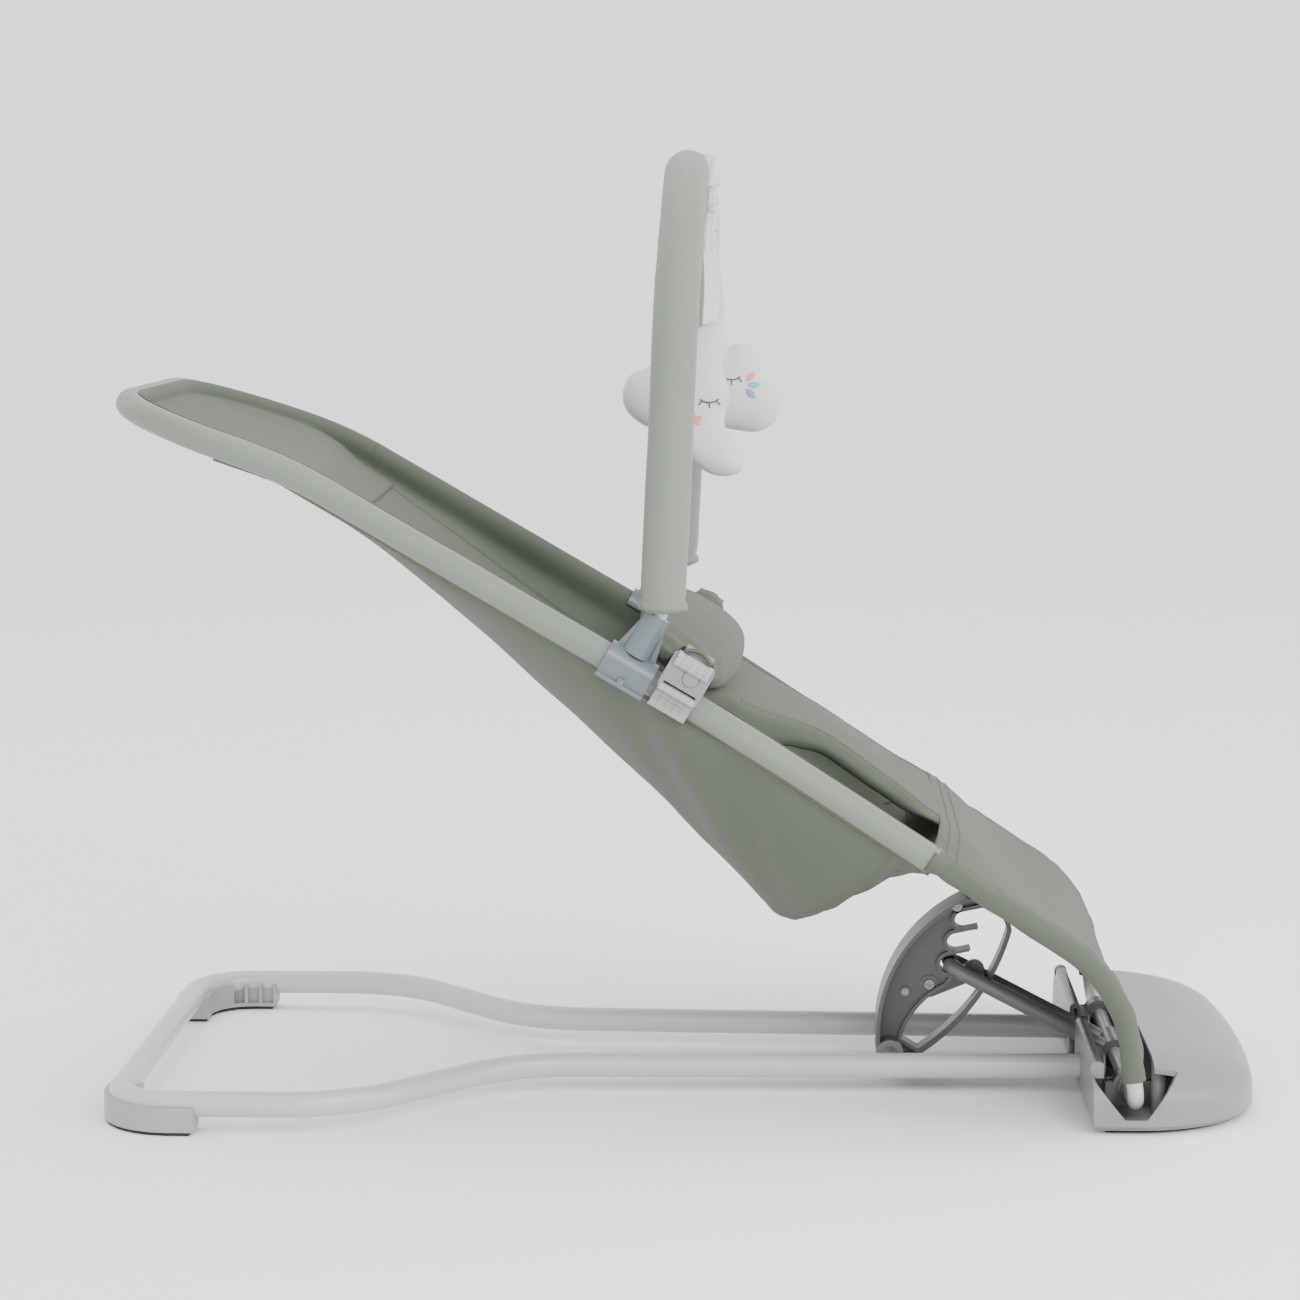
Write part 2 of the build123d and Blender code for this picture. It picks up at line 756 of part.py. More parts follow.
def toy_line():
    frame, bend = tube_frame(clamp_x, -1), toy_bend()
    foot = frame.from_local_coords(Vector(0, 0, sleeve_d / 2 + fit + clamp_wall + 3.5))
    side = [
        (foot.X, foot.Y, foot.Z),
        (bend.X, bend.Y, bend.Z),
        (toy_top_x, -toy_half_top, toy_top_z),
    ]
    far = [(x, -y, z) for x, y, z in reversed(side)]
    return FilletPolyline(*side, *far, radius=[20, toy_corner_r, toy_corner_r, 20])


def toy_bar_tube():
    return pipe(toy_line(), toy_tube_d, 1.2)


def toy_bar_sleeve():
    """The padded fabric roll round the toy bar, from clamp to clamp."""
    bend = toy_bend()
    corner = (toy_top_x, -toy_half_top, toy_top_z)
    share = toy_sleeve_start / (toy_top_z - bend.Z)
    bottom = tuple(a + (b - a) * share for a, b in zip((bend.X, bend.Y, bend.Z), corner))
    line = FilletPolyline(
        bottom,
        corner,
        (corner[0], -corner[1], corner[2]),
        (bottom[0], -bottom[1], bottom[2]),
        radius=toy_corner_r,
    )
    return rod(line, toy_sleeve_d) - rod(line, toy_tube_d + 2 * touch)


def ribbon_pivot(y):
    """Where a hanging ribbon turns, at the front of the sleeve over y."""
    x = toy_top_x + toy_sleeve_d / 2 + fit + ribbon_t / 2
    return x, toy_bar_low(y) - ribbon_hang


def tape(x, y, half0, half1, z0, z1):
    return block(x - ribbon_t / 2, x + ribbon_t / 2, y + half0, y + half1, z0, z1)


def toy_ribbon_tabs():
    """The two sewn tabs on the front of the sleeve, each ending in a small hemmed eye."""
    tabs = []
    half = ribbon_w / 2
    for y in (cloud_y, moon_y):
        x, z = ribbon_pivot(y)
        tab = tape(x, y, -half, half, z + hem_d / 2 + fit, toy_bar_low(y) + 14)
        tab += tape(x, y, -hem_half, hem_half, z, z + hem_d)
        tab += across(x, z, hem_d, y - hem_half, y + hem_half)
        tabs.append(tab - across(x, z, thread_d + 2 * running, y - half, y + half))
    return Compound(tabs)


def ribbon(y, low_z):
    """A flat ribbon that hangs from its tab by a bound thread and carries a toy."""
    x, z = ribbon_pivot(y)
    half = ribbon_w / 2
    band = tape(x, y, -half, half, low_z, z - hem_d / 2 - fit)
    for a, b in ((-half, -hem_half - fit), (hem_half + fit, half)):
        band += tape(x, y, a, b, z - hem_d, z)
        band += across(x, z, hem_d, y + a, y + b)
    return band + across(x, z, thread_d, y - half, y + half)


def toy_bar_low(y):
    """Height of the toy bar's axis over y."""
    flat = toy_half_top - toy_corner_r
    over = max(0.0, abs(y) - flat)
    return toy_top_z - toy_corner_r + sqrt(toy_corner_r**2 - over**2)


cloud_z = 533.0
moon_z = 528.0


def toy_cloud():
    """A stuffed cloud: four lobes over a flat belly."""
    w, h, t = cloud_w, cloud_h, cloud_t
    puffs = Pos(0, -h * 0.14) * Ellipse(w * 0.40, h * 0.34)
    puffs += Pos(-w * 0.29, -h * 0.14) * Circle(w * 0.21)
    puffs += Pos(w * 0.30, -h * 0.18) * Circle(w * 0.20)
    puffs += Pos(-w * 0.02, h * 0.12) * Circle(h * 0.38)
    puffs += Pos(w * 0.22, h * 0.08) * Circle(h * 0.27)
    body = slab(Pos(toy_x - 6, cloud_z) * puffs, cloud_y - t / 2, cloud_y + t / 2)
    return body


def moon_outline():
    """A fat crescent that opens forwards: an oval less a smaller oval in front of it."""
    r = moon_h / 2
    return Ellipse(r * 0.85, r) - Pos(r * 0.65, r * 0.04) * Ellipse(r * 0.58, r * 0.78)


def toy_moon():
    shape = Pos(toy_x + moon_h * 0.09, moon_z) * moon_outline()
    return slab(shape, moon_y - moon_t / 2, moon_y + moon_t / 2)


def cloud_ribbon():
    return ribbon(cloud_y, cloud_z + cloud_h * 0.5 + fit)


def moon_ribbon():
    return ribbon(moon_y, moon_z + moon_h / 2 + fit)


# ---------------------------------------------------------------- harness buckle


def buckle_frame():
    return tube_frame(buckle_x, -1)


def buckle_mid():
    """How far outside the tube's axis the middle of the buckle lies."""
    return sleeve_d / 2 + webbing_t + 2 * touch + buckle_t / 2


def tongue_top():
    return buckle_lift + buckle_high / 2 + tongue_out


def buckle_body():
    """The release buckle: a flat case outside the tube with a round button bore and a webbing slot."""
    out = sleeve_d / 2 + webbing_t + 2 * touch
    y1 = -out
    y0 = -out - buckle_t
    case = Box(buckle_len, buckle_t, buckle_high)
    case = fillet(case.edges().filter_by(Axis.Y), 3.0)
    case = Pos(0, (y0 + y1) / 2, buckle_lift) * case
    case -= Pos(3, y0, buckle_lift + 2) * Rot(90, 0, 0) * Cylinder(button_d / 2 + fit, 14)
    case -= Pos(0, (y0 + y1) / 2, buckle_lift - buckle_high / 2 + 5) * Box(buckle_len - 7, 30, 3.0)
    case -= Pos(0, (y0 + y1) / 2, buckle_lift + buckle_high / 2) * Box(22.6, 4.0, 2 * tongue_in + 1)
    return buckle_frame().location * case


def buckle_button():
    out = sleeve_d / 2 + webbing_t + 2 * touch + buckle_t
    button = Rot(90, 0, 0) * Cylinder(button_d / 2, 4.0, align=(Align.CENTER, Align.CENTER, Align.MAX))
    rim = button.edges().filter_by(GeomType.CIRCLE).sort_by(Axis.Y)[0]
    button = fillet(rim, 0.6)
    return buckle_frame().location * (Pos(3, -out - 0.8, buckle_lift + 2) * button)


def buckle_tongue():
    """The tongue of the harness wing, pushed into the buckle from above."""
    blade = Box(22, 3.4, tongue_in + tongue_out, align=(Align.CENTER, Align.CENTER, Align.MAX))
    return buckle_frame().location * (Pos(0, -buckle_mid(), tongue_top()) * blade)


def buckle_webbing():
    """The webbing loop that ties the buckle round the tube."""
    r = sleeve_d / 2 + touch
    ring = Rot(0, 90, 0) * (Cylinder(r + webbing_t, webbing_w - 2) - Cylinder(r, webbing_w))
    return buckle_frame().location * ring


# ---------------------------------------------------------------- fabric


def sling_section(x, half, depth, lean=None):
    """One slice of the hanging seat: a curved band between the side tubes."""
    frame = tube_frame(x) if lean is None else lean
    half -= sleeve_d / 2 + clamp_wall + 2 * fit
    edge = ThreePointArc((-half, 0), (0, -depth), (half, 0))
    edge += Line((half, 0), (half - sling_t, 0))
    edge += ThreePointArc((half - sling_t, 0), (0, -depth + sling_t), (-half + sling_t, 0))
    edge += Line((-half + sling_t, 0), (-half, 0))
    flat = Plane(origin=frame.origin, x_dir=(0, 1, 0), z_dir=frame.x_dir)
    return flat * make_face(edge)


def head_frame(x):
    length, dx, dz = span(head, nape)
    return Plane(
        origin=(x, 0, between(head, nape, x)),
        x_dir=(dx / length, 0, dz / length),
        z_dir=(-dz / length, 0, dx / length),
    )


def seat_sling():
    """The seat's hanging cloth, deepest under the baby's seat."""
    deep_x = 146.0
    shallow = 7.0
    cuts = [sling_section(nape_x - 20, seat_half, shallow, head_frame(nape_x - 20))]
    for share in (0.0, 0.25, 0.5, 0.75, 1.0):
        x = nape_x + 45 + share * (deep_x - nape_x - 45)
        cuts.append(sling_section(x, seat_half, shallow + 3 + (sling_depth - shallow - 3) * share))
    back = loft(cuts, ruled=True)
    front = loft([cuts[-1], sling_section(split_x - 8, seat_half, sling_depth * 0.45)], ruled=True)
    return back + front


def head_cloth():
    """The flat cloth inside the rounded head of the hoop."""
    frame = head_frame(head_x)
    reach = span(head, (nape_x - 20.6, between(head, nape, nape_x - 20.6)))[0]
    half = seat_half - sleeve_d / 2 - touch
    start = sleeve_d / 2 + touch
    plan = make_face(Polyline((start, -half), (reach, -half), (reach, half), (start, half), close=True))
    corners = plan.vertices().sort_by(Axis.X)[:2]
    plan = fillet(corners, head_corner_r - sleeve_d / 2)
    cloth = extrude(Pos(0, 0, -sling_t) * plan, sling_t)
    return frame.location * cloth


def leg_panel():
    """The sheet of cloth between the two legs, from the seat's front edge down into the base."""
    end_z = axle_z + 34
    low_x = axle_x - (end_z - axle_z) * (axle_x - knee_x) / (knee_z - axle_z)
    length, dx, dz = span(waist, knee)
    start = (split_x + 6 * dx / length, split_z + 6 * dz / length)
    line = FilletPolyline(start, knee, (low_x, end_z), radius=knee_bend_r)
    half = seat_half - leg_sleeve_d / 2 - touch
    return slab(trace(line, panel_t), -half, half)


def flap_section(x, half, low, high):
    """One slice of the harness flap: an arched band over the baby."""
    edge = ThreePointArc((-half, low), (0, high), (half, low))
    edge += Line((half, low), (half - flap_t, low))
    edge += ThreePointArc((half - flap_t, low), (0, high - flap_t), (-half + flap_t, low))
    edge += Line((-half + flap_t, low), (-half, low))
    frame = tube_frame(x)
    flat = Plane(origin=frame.origin, x_dir=(0, 1, 0), z_dir=frame.x_dir)
    return flat * make_face(edge)


def harness_flap():
    """The restraint: a padded roll across the tummy that narrows and runs down between the legs."""
    widest = seat_half - flap_side_gap
    stations = [
        (-48.0, widest - 10, 6.0, 40.0),
        (-22.0, widest - 2, 8.0, 50.0),
        (12.0, widest, 8.0, 50.0),
        (40.0, widest - 2, 6.0, 34.0),
        (105.0, widest - 8, 5.0, 24.0),
        (split_x - 12, widest - 10, 2.0, 14.0),
    ]
    return loft([flap_section(*s) for s in stations], ruled=True)


def harness_wing():
    """The folded end of the flap, carried over the tube to the buckle's tongue."""
    top = tongue_top() + touch + wing_t / 2
    line = FilletPolyline(
        (-buckle_mid() - 5, top), (-buckle_mid() + 7, top), (8, 24.0), (44, 23.5), radius=5
    )
    flat = Plane(origin=(-webbing_w / 2, 0, 0), x_dir=(0, 1, 0), z_dir=(1, 0, 0))
    strap = extrude(flat * trace(line, wing_t), webbing_w)
    return tube_frame(buckle_x, -1).location * strap


# ---------------------------------------------------------------- write every piece


def both(name, part):
    return {name + "_right": part, name + "_left": mirrored(part)}


def parts():
    built = {
        "base_frame_tube": base_frame_tube(),
        "strut_cross_tube": strut_cross_tube(),
        "base_top_cover": base_top_cover(),
        "base_bottom_plate": base_bottom_plate(),
        "base_sole_pad": base_sole_pad(),
        "base_screws": base_screws(),
        "axle_cap_screws": axle_cap_screws(),
        "axle_bushes": axle_bushes(),
        "strut_screws": strut_screws(),
        "strut_rivet": strut_rivet(),
        "strut_pivot_sleeve": strut_pivot_sleeve(),
        "fold_lock_lever": fold_lock_lever(),
        "seat_tube_upper": seat_tube_upper(),
        "seat_tube_lower": seat_tube_lower(),
        "recline_bail": recline_bail(),
        "seat_tube_sleeve": sleeve_upper(),
        "seat_sling": seat_sling(),
        "head_cloth": head_cloth(),
        "leg_panel": leg_panel(),
        "harness_flap": harness_flap(),
        "toy_bar_tube": toy_bar_tube(),
        "toy_bar_sleeve": toy_bar_sleeve(),
        "toy_cloud": toy_cloud(),
        "toy_moon": toy_moon(),
        "toy_ribbon_tabs": toy_ribbon_tabs(),
        "cloud_ribbon": cloud_ribbon(),
        "moon_ribbon": moon_ribbon(),
    }
    built |= both("hinge_cover", hinge_cover())
    built |= both("rear_foot", rear_foot())
    built |= both("rear_foot_pad", rear_foot_pad())
    built |= both("tube_clamp", tube_clamp())
    built |= both("axle_saddle", axle_saddle())
    built |= both("axle_cap", axle_cap())
    built |= both("strut_shell", strut_shell())
    built |= both("tube_connector", tube_connector())
    built |= both("leg_sleeve", leg_sleeve())
    built |= both("toy_clamp", toy_clamp())
    built |= both("buckle_body", buckle_body())
    built |= both("buckle_button", buckle_button())
    built |= both("buckle_tongue", buckle_tongue())
    built |= both("buckle_webbing", buckle_webbing())
    built |= both("harness_wing", harness_wing())
    return built


os.makedirs("parts", exist_ok=True)
for name, part in parts().items():
    export_step(part, "parts/" + name + ".step")
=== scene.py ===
# %% [markdown]
# # A baby bouncer seat
# The hard parts, which are bent tube, moulded plastic and screws, come from the
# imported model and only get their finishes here. Everything sewn or stuffed is
# made here as its own mesh, in the place that a plain solid keeps for it.

# %% Frame
import json
from math import acos, cos, exp, hypot, pi, radians, sin, sqrt, tan

import bpy
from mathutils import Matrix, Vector, noise
from mathutils.geometry import delaunay_2d_cdt


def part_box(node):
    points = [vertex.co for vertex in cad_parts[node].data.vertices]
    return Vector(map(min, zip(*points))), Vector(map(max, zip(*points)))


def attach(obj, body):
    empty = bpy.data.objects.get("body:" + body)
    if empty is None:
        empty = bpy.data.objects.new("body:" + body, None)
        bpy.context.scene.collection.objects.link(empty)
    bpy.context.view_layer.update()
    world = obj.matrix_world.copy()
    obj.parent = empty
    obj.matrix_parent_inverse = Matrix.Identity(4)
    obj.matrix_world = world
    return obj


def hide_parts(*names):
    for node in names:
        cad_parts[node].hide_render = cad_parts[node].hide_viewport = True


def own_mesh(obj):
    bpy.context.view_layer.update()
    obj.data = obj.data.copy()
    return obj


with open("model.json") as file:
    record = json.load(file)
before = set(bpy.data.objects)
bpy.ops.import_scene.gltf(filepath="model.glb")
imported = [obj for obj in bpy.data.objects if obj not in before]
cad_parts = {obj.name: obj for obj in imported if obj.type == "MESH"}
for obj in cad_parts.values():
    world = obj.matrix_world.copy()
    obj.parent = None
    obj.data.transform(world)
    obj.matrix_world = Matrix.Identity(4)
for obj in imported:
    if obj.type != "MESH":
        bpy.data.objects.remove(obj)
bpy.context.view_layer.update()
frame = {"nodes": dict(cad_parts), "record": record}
nodes = frame["nodes"]
slot_of = {s["node"]: s["material_slot"] for s in frame["record"]["subparts"]}
print(len(nodes), "hard and soft nodes")

# %% [markdown]
# ## Camera
# A long lens a little above the seat and square to its side. The longer the
# lens, the less the near tube grows against the far one.

# %% Camera
camera = bpy.data.objects.new("camera", bpy.data.cameras.new("camera"))
bpy.context.scene.collection.objects.link(camera)
bpy.context.scene.camera = camera
camera.data.lens = 94.15
camera.data.clip_end = 50
camera.location = (0.0676, -2.6168, 0.6513)
camera.rotation_euler = (radians(83.041), 0, radians(2.1735))
print("camera", tuple(camera.location))

# %% [markdown]
# ## Light and floor
# A product is lit by large soft boxes over a white floor. The floor throws
# light back up, so the underside of the cloth never goes black.

# %% Light and floor


def softbox(name, place, size, power, aim=(0, 0, 0.25)):
    lamp = bpy.data.lights.new(name, "AREA")
    lamp.shape = "RECTANGLE"
    lamp.size, lamp.size_y = size
    lamp.energy = power
    box = bpy.data.objects.new(name, lamp)
    box.location = place
    box.rotation_euler = (Vector(aim) - Vector(place)).to_track_quat("-Z", "Y").to_euler()
    bpy.context.scene.collection.objects.link(box)


softbox("key", (1.3, -2.3, 1.7), (1.3, 1.0), 50)
softbox("top", (-0.2, 0.5, 2.8), (2.0, 1.4), 24)
softbox("side", (2.6, -1.0, 0.9), (0.9, 1.2), 22)
world = bpy.data.worlds.new("studio")
bpy.context.scene.world = world
world.use_nodes = True
sky = world.node_tree.nodes["Background"]
sky.inputs["Color"].default_value = (1, 1, 1, 1)
sky.inputs["Strength"].default_value = 1.75


# %% [markdown]
# ## Shader maths
# A finish is easier to read as arithmetic than as a web of nodes, so one small
# class stands for a socket and turns +, - and * into Math nodes.

# %% Shader maths
def linear(*rgb):
    """A colour given as it looks on a screen, 0 to 255, in the numbers the shader wants."""
    return tuple(
        c / 255 / 12.92 if c / 255 <= 0.04045 else ((c / 255 + 0.055) / 1.055) ** 2.4 for c in rgb
    ) + (1.0,)


class Field:
    """A number that varies over a surface."""

    def __init__(self, finish, socket):
        self.finish, self.socket = finish, socket

    def _maths(self, operation, *values):
        settings = {"operation": operation}
        return self.finish.make("ShaderNodeMath", settings, dict(enumerate(values)))

    def __add__(self, other):
        return self._maths("ADD", self, other)

    __radd__ = __add__

    def __sub__(self, other):
        return self._maths("SUBTRACT", self, other)

    def __rsub__(self, other):
        return self._maths("SUBTRACT", other, self)

    def __mul__(self, other):
        return self._maths("MULTIPLY", self, other)

    __rmul__ = __mul__

    def sine(self):
        return self._maths("SINE", self)


class Finish:
    """A material, with one method that adds any node."""

    def __init__(self, name, **fixed):
        self.material = bpy.data.materials.new(name)
        self.material.use_nodes = True
        self.tree = self.material.node_tree
        self.shader = self.tree.nodes["Principled BSDF"]
        for key, value in fixed.items():
            self.shader.inputs[key.replace("_", " ")].default_value = value

    def make(self, kind, settings=(), inputs=(), output=0):
        node = self.tree.nodes.new(kind)
        for key, value in dict(settings).items():
            if key == "stops":
                self.stops(node, value)
            else:
                setattr(node, key, value)
        for key, value in dict(inputs).items():
            self.feed(node.inputs[key], value)
        return Field(self, node.outputs[output])

    def stops(self, node, stops):
        ramp = node.color_ramp
        while len(ramp.elements) < len(stops):
            ramp.elements.new(0.5)
        for element, (place, colour) in zip(ramp.elements, stops):
            element.position, element.color = place, colour

    def feed(self, socket, value):
        if isinstance(value, Field):
            self.tree.links.new(value.socket, socket)
        else:
            socket.default_value = value

    def put(self, name, value):
        self.feed(self.shader.inputs[name], value)

    def bump(self, height, distance, strength=1.0):
        inputs = {"Height": height, "Distance": distance, "Strength": strength}
        self.put("Normal", self.make("ShaderNodeBump", (), inputs))

    def grain(self, scale, detail=2.0, where=None):
        inputs = {"Scale": scale, "Detail": detail}
        if where:
            inputs["Vector"] = where
        return self.make("ShaderNodeTexNoise", (), inputs)

    def place(self):
        return self.make("ShaderNodeTexCoord", (), (), 3)

    def threads(self):
        """The cloth's own u and v, in metres."""
        split = {"Vector": self.make("ShaderNodeUVMap", {"uv_map": "cloth"})}
        return [self.make("ShaderNodeSeparateXYZ", (), split, k) for k in (0, 1)]

    def tint(self, factor, low, high):
        return self.make(
            "ShaderNodeMix",
            {"data_type": "RGBA"},
            {0: factor, 6: low, 7: high},
            2,
        )


def shade(colour, amount):
    return tuple(min(1.0, c * amount) for c in colour[:3]) + (1.0,)


# %% [markdown]
# ## Finishes for the hard parts
# Powder-coated tube has a faint orange peel. Moulded plastic has a fine spark
# grain that breaks up its highlights. Both need little colour change, and most
# of the look comes from roughness and a very shallow bump.

# %% Hard finishes


def coated(name, colour, roughness=0.34, peel=260.0):
    f = Finish(name, Coat_Weight=0.25, Coat_Roughness=0.25)
    here = f.place()
    cloud = f.grain(9.0, 3.0, here)
    f.put("Base Color", f.tint(cloud, shade(colour, 0.94), shade(colour, 1.05)))
    f.put("Roughness", cloud * 0.10 + (roughness - 0.05))
    f.bump(f.grain(peel, 2.0, here), 0.00012, 0.5)
    return f.material


def moulded(name, colour, roughness=0.46, grain=1500.0, depth=0.00010):
    f = Finish(name)
    here = f.place()
    cloud = f.grain(14.0, 4.0, here)
    f.put("Base Color", f.tint(cloud, shade(colour, 0.93), shade(colour, 1.06)))
    f.put("Roughness", cloud * 0.14 + (roughness - 0.07))
    f.bump(f.grain(grain, 2.0, here) + cloud * 0.3, depth, 0.6)
    return f.material


def plated(name, colour, roughness):
    f = Finish(name, Metallic=1.0)
    here = f.place()
    brushed = f.grain(420.0, 5.0, here)
    f.put("Base Color", f.tint(brushed, shade(colour, 0.85), shade(colour, 1.1)))
    f.put("Roughness", brushed * 0.18 + (roughness - 0.09))
    f.bump(brushed, 0.00006, 0.5)
    return f.material


def black_rubber(name):
    f = Finish(name)
    here = f.place()
    f.put("Base Color", f.tint(f.grain(30.0, 4.0, here), linear(28, 28, 28), linear(44, 44, 44)))
    f.put("Roughness", f.grain(60.0, 2.0, here) * 0.2 + 0.68)
    f.bump(f.grain(900.0, 2.0, here), 0.0001, 0.6)
    return f.material


hard = {
    "frame_paint": coated("pale_powder_coat", linear(180, 184, 182)),
    "dark_steel": coated("dark_powder_coat", linear(112, 113, 111), 0.38),
    "steel": plated("screw_steel", linear(128, 128, 126), 0.34),
    "base_plastic": moulded("base_moulding", linear(126, 126, 126), 0.38),
    "pale_plastic": moulded("foot_moulding", linear(150, 152, 152), 0.42),
    "strut_plastic": moulded("strut_moulding", linear(88, 89, 88), 0.42),
    "clamp_plastic": moulded("clamp_moulding", linear(96, 105, 110), 0.30, 900.0, 0.00005),
    "buckle_plastic": moulded("buckle_moulding", linear(126, 127, 127), 0.40),
    "bearing_plastic": moulded("bearing_moulding", linear(120, 120, 118), 0.35),
    "rubber": black_rubber("sole_rubber"),
}
for name, slot in slot_of.items():
    if slot in hard:
        data = nodes[name].data
        data.materials.clear()
        data.materials.append(hard[slot])
        for face in data.polygons:
            face.material_index = 0
print("hard finishes:", ", ".join(sorted(hard)))

# %% [markdown]
# ## Cloth finishes
# The seat is a tight plain weave with a slightly mottled, yarn-dyed colour. The
# threads are drawn from the cloth's own u and v, which every sewn mesh below
# carries in metres, so one thread has the same width on every piece.

# %% Cloth finishes


def woven(name, colour, thread=0.0011, depth=0.00022, mottle=0.10, roughness=0.84, sheen=0.08):
    f = Finish(name, Sheen_Weight=sheen, Sheen_Roughness=0.55, Specular_IOR_Level=0.25)
    here = f.place()
    across, along = f.threads()
    turns = 2 * pi / thread
    weave = (across * turns).sine() * (along * turns).sine()
    fleck = f.grain(520.0, 3.0, here)
    patch = f.grain(11.0, 4.0, here)
    mix = fleck * 0.6 + patch * 0.3 + weave * 0.10
    low, high = shade(colour, 1 - mottle), shade(colour, 1 + mottle)
    f.put("Base Color", f.tint(mix, low, high))
    f.put("Roughness", fleck * 0.12 + (roughness - 0.06))
    f.bump(weave * 0.5 + fleck * 0.8, depth, 0.7)
    return f.material


def ribbed(name, colour, pitch=0.0030):
    """Webbing: short ribs of thread, every other row shifted by half, with painted shade in the grooves
    between them.
    """
    f = Finish(name, Sheen_Weight=0.2, Specular_IOR_Level=0.3)
    across, along = f.threads()
    turns = 2 * pi / pitch
    rows = (along * turns).sine()
    columns = (across * (turns * 0.5) + rows).sine()
    relief = rows * 0.6 + columns * 0.4
    # The colour follows the relief: the grooves are painted darker as shade and the rib tops lighter as
    # light.
    f.put("Base Color", f.tint(relief * 0.4 + 0.5, shade(colour, 0.80), shade(colour, 1.08)))
    f.put("Roughness", 0.72)
    f.bump(relief, 0.00045, 1.0)
    return f.material


def velour(name, colour):
    """The short soft pile of the toys."""
    f = Finish(name, Sheen_Weight=0.25, Sheen_Roughness=0.4, Specular_IOR_Level=0.15)
    here = f.place()
    pile = f.grain(1100.0, 4.0, here)
    f.put("Base Color", f.tint(pile * 0.7 + f.grain(25.0, 2.0, here) * 0.3, shade(colour, 0.94), colour))
    f.put("Roughness", pile * 0.1 + 0.86)
    f.bump(pile, 0.0003, 0.6)
    return f.material


sage_colour = linear(84, 90, 79)
sage = woven("sage_weave", sage_colour)
sage_smooth = woven("sage_sleeve_cloth", linear(118, 125, 115), 0.0008, 0.00010, 0.07, 0.50, 0.12)
sage_thread = woven("sage_thread", linear(92, 95, 74), 0.0005, 0.0001, 0.12, 0.7, 0.2)
webbing = ribbed("grey_webbing", linear(166, 164, 163))
satin = woven("white_ribbon", linear(206, 206, 206), 0.0007, 0.0001, 0.03, 0.45, 0.3)
plush = velour("white_plush", linear(204, 204, 206))
threads = {
    "lash": woven("grey_embroidery", linear(92, 94, 100), 0.0006, 0.0002, 0.12, 0.6, 0.2),
    "coral": woven("coral_embroidery", linear(232, 140, 132), 0.0006, 0.0002, 0.10, 0.6, 0.2),
    "teal": woven("teal_embroidery", linear(96, 178, 190), 0.0006, 0.0002, 0.10, 0.6, 0.2),
    "lilac": woven("lilac_embroidery", linear(150, 128, 190), 0.0006, 0.0002, 0.10, 0.6, 0.2),
}
floor_finish = Finish("floor_paper", Roughness=0.9)
floor_here = floor_finish.place()
floor_finish.put(
    "Base Color",
    floor_finish.tint(floor_finish.grain(3.0, 2.0, floor_here), linear(250, 250, 250), linear(253, 253, 253)),
)


# %% [markdown]
# ## Making meshes
# Cloth is a grid: rows of points, each row as long as the next. A grid is easy
# to shape with a formula, gives clean quads for smoothing, and its row and
# column lengths become the cloth's u and v.

# %% Making meshes
def mesh_piece(name, points, faces, finish, cloth_uv=None):
    data = bpy.data.meshes.new(name)
    data.from_pydata([tuple(p) for p in points], [], faces)
    data.update()
    data.shade_smooth()
    layer = data.uv_layers.new(name="cloth")
    if cloth_uv is None:
        cloth_uv = [(p[0], p[2]) for p in points]
    for corner in data.loops:
        layer.data[corner.index].uv = cloth_uv[corner.vertex_index]
    data.materials.append(finish)
    piece = bpy.data.objects.new(name, data)
    bpy.context.scene.collection.objects.link(piece)
    return piece


def running_length(points):
    total, out = 0.0, [0.0]
    for a, b in zip(points, points[1:]):
        total += (Vector(b) - Vector(a)).length
        out.append(total)
    return out


def grid_piece(name, rows, finish, close_round=False):
    """rows[i][j]: i runs along the piece and j across it."""
    across = len(rows[0])
    rows = [list(r) + ([r[0]] if close_round else []) for r in rows]
    wide = len(rows[0])
    middle = running_length([r[wide // 2] for r in rows])
    points, uv, faces = [], [], []
    for row, v in zip(rows, middle):
        for p, u in zip(row, running_length(row)):
            points.append(p)
            uv.append((u, v))
    for i in range(len(rows) - 1):
        for j in range(wide - 1):
            a = i * wide + j
            faces.append((a, a + 1, a + wide + 1, a + wide))
    piece = mesh_piece(name, points, faces, finish, uv)
    if close_round:
        weld(piece)
    return piece


def weld(piece, distance=1e-6):
    joined = piece.modifiers.new("weld", "WELD")
    joined.merge_threshold = distance
    apply_modifiers(piece)


def apply_modifiers(piece):
    depsgraph = bpy.context.evaluated_depsgraph_get()
    fresh = bpy.data.meshes.new_from_object(piece.evaluated_get(depsgraph))
    old = piece.data
    piece.modifiers.clear()
    piece.data = fresh
    fresh.name = old.name
    bpy.data.meshes.remove(old)


def thicken(piece, thickness, offset=0.0, smooth=0):
    solid = piece.modifiers.new("cloth", "SOLIDIFY")
    solid.thickness = thickness
    solid.offset = offset
    if smooth:
        piece.modifiers.new("smooth", "SUBSURF").levels = smooth
    apply_modifiers(piece)
    piece.data.shade_smooth()
    return piece


# %% [markdown]
# ## Tubes of cloth
# A sleeve over a bent tube is a ring of points carried along the tube's line.
# Each ring is turned as little as possible from the last one, which keeps the
# weave from twisting.

# %% Lines and tubes


